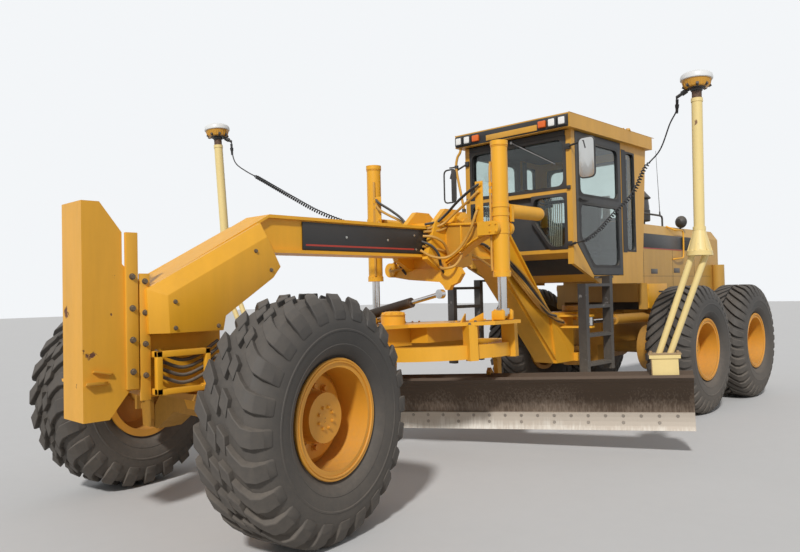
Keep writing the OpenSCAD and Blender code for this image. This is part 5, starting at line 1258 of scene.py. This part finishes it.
# Wiper: a pressed arm and a long blade, painted grey, on a spindle that comes through the sheet
# over the windscreen.
wiper = bmesh.new()
wiper_foot, wiper_tip = Vector((-0.050, -0.03, 3.105)), Vector((-0.066, 0.50, 2.80))
bar(wiper, wiper_foot + Vector((-0.02, 0, 0)), wiper_foot + Vector((0.012, 0, 0)), 0.016, 24)
bar(wiper, wiper_foot, wiper_foot.lerp(wiper_tip, 0.62), 0.006, 12, end_radius=0.004)
blade_back = Vector((-0.010, 0, 0))
bar(wiper, wiper_foot.lerp(wiper_tip, 0.30) + blade_back, wiper_tip + blade_back, 0.0045, 10)
wiper_grey = finish("wiper grey", (0.32, 0.32, 0.32), dust=0.2, chips=0.1, sheen=0.35, metal=0.6)
piece("wiper", wiper, wiper_grey, "rear_body")

# Mirrors and rails: framed convex mirrors on tube arms, a pole before the right post, grab rails
# of bent tube along the hood, and the socket that takes the left cable.
bracket_black = finish("bracket black", (0.02, 0.02, 0.02), under=(0.14, 0.10, 0.07), chips=0.25, dust=0.3,
                       grain=14, sheen=0.5)
silvered = finish("dusty mirror", (0.62, 0.62, 0.60), dust_tone=(0.42, 0.38, 0.33), dust=0.5, chips=0,
                  sheen=0.16, metal=1.0, grain=24, depth=0.0002)
mirror_frames, mirror_faces = bmesh.new(), bmesh.new()
square = ((-1, -1), (1, -1), (1, 1), (-1, 1))
outer_part = ((0.30, -1), (1, -1), (1, 1), (0.30, 1))
for (x, y, z), high, face, cut, filled in (
    ((-0.005, 0.91, 2.805), 0.21, square, 0.05, mirror_faces),
    ((0.045, -0.85, 2.715), 0.20, outer_part, 0.025, mirror_frames),
):
    hoop = rounded([Vector((x, y + a * 0.088, z + b * (high - 0.007))) for a, b in square], 0.055)
    for a, b in zip(hoop, hoop[1:] + hoop[:1]):
        bar(mirror_frames, a, b, 0.0095, 12)
    shell = rounded([Vector((x - 0.008, y + a * 0.086, z + b * (high - 0.009))) for a, b in face], cut)
    plate(filled, shell, (0.016, 0, 0), edge=0.002)
for points in (
    ((-0.051, 0.67, 2.96), (-0.005, 0.88, 2.98), (-0.005, 0.90, 2.90)),
    ((-0.051, -0.67, 2.96), (0.045, -0.82, 2.86), (0.045, -0.84, 2.80)),
):
    for a, b in zip(points, points[1:]):
        bar(mirror_frames, a, b, 0.011, 16)
for y in (0.665, -0.665):
    block(mirror_frames, (-0.0647, y - 0.025, 2.93), (-0.041, y + 0.025, 2.99), edge=0.004)
    block(mirror_frames, (-0.0647, y - 0.020, 2.515), (-0.045, y + 0.020, 2.555), edge=0.004)
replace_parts(piece("mirror_frames", mirror_frames, bracket_black, "rear_body"), "cab_fittings")
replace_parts(piece("mirror_faces", mirror_faces, silvered, "rear_body"), "cab_fittings")
socket = bmesh.new()
block(socket, (-0.0647, 0.64, 1.925), (-0.041, 0.69, 1.975), edge=0.004)
cable_end = Vector(left_route[-1])
inward = (cable_end - Vector(left_route[-2])).normalized()
bar(socket, cable_end - inward * 0.004, cable_end + inward * 0.056, 0.012, 24)
bar(socket, cable_end, cable_end + inward * 0.014, 0.0145, 24)
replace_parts(piece("cable_socket", socket, bracket_black, "rear_body"), "cab_fittings")
rail_line = (
    (-1.955, 2.2905), (-1.955, 2.36), (-1.962, 2.42), (-2.02, 2.44), (-2.30, 2.442), (-2.65, 2.442),
    (-2.89, 2.44), (-2.948, 2.42), (-2.955, 2.36), (-2.955, 2.2905),
)
for side, name in hands:
    bent = [(x, side * 0.37, z) for x, z in rail_line]
    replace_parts(pipe(f"hood_rail_{name}", bent, 0.013, bracket_black, "rear_body"), "cab_fittings")
pipe("mirror_pole", [
    (-0.040, -0.655, 2.20), (-0.030, -0.680, 2.30), (0.012, -0.712, 2.60), (0.030, -0.760, 2.90),
    (0.032, -0.742, 3.03), (0.030, -0.70, 3.09), (0.028, -0.69, 3.145),
], 0.015, cab_yellow, "rear_body")
pole_clips = bmesh.new()
for z, x, y in ((2.93, 0.030, -0.758), (2.42, -0.012, -0.695)):
    bar(pole_clips, (x, y, z - 0.016), (x, y, z + 0.016), 0.024, 20)
bar(pole_clips, (0.030, -0.758, 2.93), (0.045, -0.85, 2.93), 0.009, 12)
piece("pole_clips", pole_clips, bracket_black, "rear_body")

# Seat: two cushions of foam under worn cloth, stitched and pulled over a plastic pan, on a rubber
# bellows that stands on the cab's floor.
seat_cloth = finish("seat cloth", (0.035, 0.034, 0.034), dust=0.3, chips=0, sheen=0.85, grain=40,
                    depth=0.0010)


def cushion(name, half, place, crown):
    """A stuffed form: a cube's surface drawn out to rounded sides, with its broad faces crowned."""
    form = bmesh.new()
    bmesh.ops.create_cube(form, size=2)
    bmesh.ops.subdivide_edges(form, edges=form.edges[:], cuts=15, use_grid_fill=True)
    for corner in form.verts:
        u = corner.co.copy()
        reach = sum(abs(c) ** 7 for c in u) ** (1 / 7)
        u /= reach
        swell = 1 + crown * (1 - u.x ** 2) * (1 - u.y ** 2)
        corner.co = (u.x * half[0], u.y * half[1], u.z * half[2] * swell)
    bmesh.ops.transform(form, matrix=place, verts=form.verts[:])
    made = piece(name, form, seat_cloth, "rear_body", smooth=180)
    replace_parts(made, "seat")


lean_back = Matrix.Translation((-1.490, 0, 2.32)) @ Matrix.Rotation(math.radians(-9.5), 4, "Y")
cushion("seat_cushion", (0.243, 0.248, 0.050), Matrix.Translation((-1.250, 0, 1.955)), 0.16)
cushion("seat_back", (0.044, 0.236, 0.285), lean_back, 0.0)
bellows_x, bellows_wide, bellows_narrow = -1.295, 0.165, 0.150
pan = bmesh.new()
block(pan, (-1.47, -0.225, 1.880), (-1.03, 0.225, 1.908), edge=0.010)
for k in range(6):
    low = 1.640 + 0.040 * k
    waist = (bellows_x, 0, low + 0.022)
    bar(pan, (bellows_x, 0, low), waist, bellows_wide, 32, end_radius=bellows_narrow)
    bar(pan, waist, (bellows_x, 0, low + 0.041), bellows_narrow, 32, end_radius=bellows_wide)
block(pan, (-1.46, -0.18, 1.602), (-1.13, 0.18, 1.642), edge=0.006)
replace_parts(piece("seat_pan", pan, lining, "rear_body"), "seat")

# Console: a moulded column with dials, a steering wheel of foam over steel, and lever pods at
# both sides, whose thin rods run down to the floor.
column_side = ((-0.195, 1.90), (-0.175, 2.43), (-0.385, 2.488), (-0.362, 1.94), (-0.362, 1.90))
column = bmesh.new()
plate(column, [(x, -0.105, z) for x, z in column_side], (0, 0.21, 0), edge=0.012)
hub = Vector((-0.365, 0, 2.484))
tilted = Matrix.Rotation(math.radians(-35), 4, "Y") @ Matrix.Rotation(math.radians(90), 4, "X")
wheel = bmesh.new()
revolve(wheel, [(along, 0.176 + out) for out, along in ringed(10, 0.014)], 48, closed=True)
bar(wheel, (0, -0.014, 0), (0, 0.012, 0), 0.040, 28)
for x, z in ringed(3, 0.17):
    bar(wheel, (0, 0, 0), (x, 0, z), 0.009, 10)
bmesh.ops.transform(wheel, matrix=Matrix.Translation(hub) @ tilted, verts=wheel.verts[:])
bar(column, hub + Vector((0.06, 0, -0.085)), hub, 0.026, 24)
dark_plastic = finish("console plastic", (0.03, 0.03, 0.032), dust=0.3, chips=0.05, sheen=0.55, grain=30)
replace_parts(piece("console_column", column, dark_plastic, "rear_body"), "control_console")
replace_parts(piece("steering_wheel", wheel, dark_plastic, "rear_body"), "control_console")
levers, knobs = bmesh.new(), bmesh.new()
for side in (1, -1):
    for k in range(7):
        y = side * (0.345 + 0.027 * k)
        bar(levers, (-0.215, side * (0.335 + 0.022 * k), 1.905), (-0.175, y, 2.40), 0.0055, 10)
        bar(levers, (-0.180, y, 2.42), (-0.225, y, 2.475), 0.0045, 10)
        at = Matrix.Translation((-0.229, y, 2.482))
        bmesh.ops.create_uvsphere(knobs, u_segments=14, v_segments=10, radius=0.012, matrix=at)
    block(knobs, (-0.215, side * 0.426 - 0.105, 2.395), (-0.150, side * 0.426 + 0.105, 2.428), edge=0.008)
    block(knobs, (-0.205, side * 0.25 - 0.14, 2.360), (-0.165, side * 0.25 + 0.14, 2.392), edge=0.006)
lever_cream = finish("lever cream", (0.62, 0.60, 0.50), dust=0.3, chips=0.1, sheen=0.4)
piece("lever_rods", levers, lever_cream, "rear_body")
piece("lever_pods", knobs, dark_plastic, "rear_body")

# Ladders: box posts and rungs welded up and painted black, knocked and scraped by boots, with bars
# across each rung for grip.
ladder_black = finish("ladder black", (0.02, 0.02, 0.021), under=(0.16, 0.15, 0.14), chips=0.55, dust=0.35,
                      grain=11, sheen=0.45)
dress(ladder_black, "ladders")
treads = bmesh.new()
for z in (0.73, 1.02, 1.31):
    for k in range(9):
        x = -0.40 + 0.05 * k
        block(treads, (x, 0.815, z), (x + 0.02, 0.895, z + 0.006), edge=0)
piece("ladder_treads", both_ways(treads), ladder_black, "rear_body")

# Hood: sheet steel panels, faded to ochre and darkened with painted shade, with a black band, a slatted
# grille, blank plates, a battery box with a latch, a guard tube, work lamps on stalks and a whip aerial. The
# engine behind it is a plain iron block.
hood_ochre = finish("hood ochre", (0.50, 0.275, 0.048), under=(0.11, 0.07, 0.04), chips=0.08, dust=0.32,
                    grain=6, sheen=0.42, dust_tone=(0.30, 0.23, 0.14), fade=0.18)
dress(hood_ochre, "hood")
dress(finish("engine iron", (0.09, 0.08, 0.07), dust=0.6, chips=0.1, sheen=0.7), "engine_block")
flank_y = 0.5203
seam_lines = (
    ((-3.60, 1.618), (-1.90, 1.621)), ((-2.040, 1.31), (-2.036, 1.966)), ((-2.90, 1.31), (-2.896, 1.966)),
    ((-3.62, 1.31), (-3.616, 2.155)), ((-3.21, 1.86), (-3.206, 2.157)), ((-4.20, 1.618), (-3.62, 1.621)),
)
band, line, seams, slats, plates, cover = (bmesh.new() for _ in range(6))
block(band, (-3.200, flank_y, 1.978), (-1.858, 0.5235, 2.157), edge=0.001)
block(line, (-3.200, flank_y, 1.966), (-1.858, 0.5233, 1.977), edge=0)
for (x0, z0), (x1, z1) in seam_lines:
    block(seams, (x0, 0.5202, z0), (x1, 0.5212, z1), edge=0)
block(slats, (-3.565, flank_y, 1.975), (-3.210, 0.524, 2.157), edge=0.001)
for k in range(13):
    x = -3.548 + 0.026 * k
    block(slats, (x, 0.524, 1.985), (x + 0.011, 0.536, 2.148), edge=0.002)
for x, z in ((-2.43, 1.650), (-3.12, 1.665)):
    block(plates, (x, flank_y, z), (x + 0.19, 0.5225, z + 0.062), edge=0.0005)
block(cover, (-2.436, 0.6302, 1.218), (-1.884, 0.6355, 1.522), edge=0.002)
for z in (1.26, 1.48):
    bar(cover, (-1.892, 0.638, z - 0.03), (-1.892, 0.638, z + 0.03), 0.008, 12)
for mesh in (band, line, seams, slats, plates, cover):
    both_ways(mesh)
latch = bmesh.new()
block(latch, (-2.33, 0.6356, 1.415), (-2.19, 0.640, 1.432), edge=0.002)
block(latch, (-2.29, 0.6356, 1.285), (-2.245, 0.650, 1.345), edge=0.004)
bar(latch, (-2.268, 0.645, 1.345), (-2.268, 0.645, 1.372), 0.012, 14)
piece("hood_band", band, panel_black, "rear_body")
piece("hood_line", line, line_red, "rear_body")
piece("hood_seams", seams, lining, "rear_body")
piece("hood_grille", slats, bracket_black, "rear_body")
blank_plate = finish("blank plate", (0.10, 0.09, 0.08), dust=0.4, chips=0.1, sheen=0.4, metal=0.5)
piece("hood_plates", plates, blank_plate, "rear_body")
piece("battery_covers", cover, machine_yellow, "rear_body")
piece("battery_latch", both_ways(latch), bracket_black, "rear_body")
guard_line = (
    (-2.93, 0.43, 2.292), (-2.93, 0.50, 2.262), (-2.94, 0.552, 2.235), (-3.05, 0.560, 2.238),
    (-3.14, 0.560, 2.235), (-3.175, 0.560, 2.20), (-3.175, 0.560, 2.05), (-3.165, 0.560, 1.90),
    (-3.13, 0.560, 1.865), (-3.00, 0.560, 1.855), (-2.93, 0.545, 1.848), (-2.91, 0.522, 1.845),
)
for side, name in hands:
    bent = [(x, side * y, z) for x, y, z in guard_line]
    pipe(f"guard_tube_{name}", bent, 0.011, machine_yellow, "rear_body")
lamp_profile = [
    (0.0, 0.0005), (0.0, 0.080), (0.012, 0.086), (0.030, 0.084), (0.060, 0.066), (0.085, 0.040),
    (0.092, 0.0005),
]
work_lights = bmesh.new()
revolve(work_lights, lamp_profile, 36)
aimed = Matrix.Rotation(math.radians(-100), 3, "Z")
bmesh.ops.rotate(work_lights, cent=(0, 0, 0), matrix=aimed, verts=work_lights.verts[:])
bmesh.ops.translate(work_lights, vec=(-3.36, 0.47, 2.372), verts=work_lights.verts[:])
bar(work_lights, (-3.33, 0.45, 2.238), (-3.33, 0.465, 2.310), 0.012, 14)
piece("hood_lamps", both_ways(work_lights), bracket_black, "rear_body")
whip = bmesh.new()
whip_root = (-2.885, 0.37, 2.50)
bar(whip, (-2.887, 0.37, 2.45), whip_root, 0.012, 14, end_radius=0.008)
bar(whip, whip_root, (-2.815, 0.37, 3.31), 0.0045, 8, end_radius=0.0025)
piece("hood_whip", whip, bracket_black, "rear_body")

# Stacks: the air cleaner's dust bowl of smoked plastic, clamped on a black stem under a rain cap,
# and the exhaust, a rusty steel tube through the hood's top.
smoked_plastic = finish("smoked bowl", (0.05, 0.05, 0.052), dust=0.3, chips=0, sheen=0.12, depth=0.0002)
exhaust_steel = finish("exhaust steel", (0.10, 0.075, 0.06), under=(0.16, 0.07, 0.035), chips=0.7, dust=0.3,
                       sheen=0.6, grain=12, metal=0.4)
cleaner_at, exhaust_at = (-3.115, 0.0), (-2.665, -0.30)
stack_forms = {
    "cleaner_stem": (bracket_black, cleaner_at, [
        (2.2904, 0.0005), (2.2904, 0.050), (2.400, 0.050), (2.405, 0.112), (2.415, 0.120), (2.560, 0.120),
        (2.566, 0.114), (2.566, 0.0005)]),
    "cleaner_bowl": (smoked_plastic, cleaner_at, [
        (2.5655, 0.0005), (2.5655, 0.110), (2.600, 0.112), (2.700, 0.102), (2.722, 0.098), (2.722, 0.0005)]),
    "cleaner_cap": (bracket_black, cleaner_at, [
        (2.718, 0.0005), (2.718, 0.118), (2.726, 0.131), (2.738, 0.132), (2.762, 0.112), (2.790, 0.086),
        (2.812, 0.070), (2.828, 0.058), (2.830, 0.0005)]),
    "exhaust": (exhaust_steel, exhaust_at, [
        (2.2904, 0.0005), (2.2904, 0.075), (2.300, 0.075), (2.302, 0.055), (2.756, 0.055), (2.756, 0.050),
        (2.500, 0.050), (2.500, 0.0005)]),
}
for name, (stuff, (x, y), profile) in stack_forms.items():
    form = bmesh.new()
    revolve(form, profile, 48)
    upright(form)
    bmesh.ops.translate(form, vec=(x, y, 0), verts=form.verts[:])
    bmesh.ops.recalc_face_normals(form, faces=form.faces[:])
    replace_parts(piece(name, form, stuff, "rear_body"), "engine_stacks")
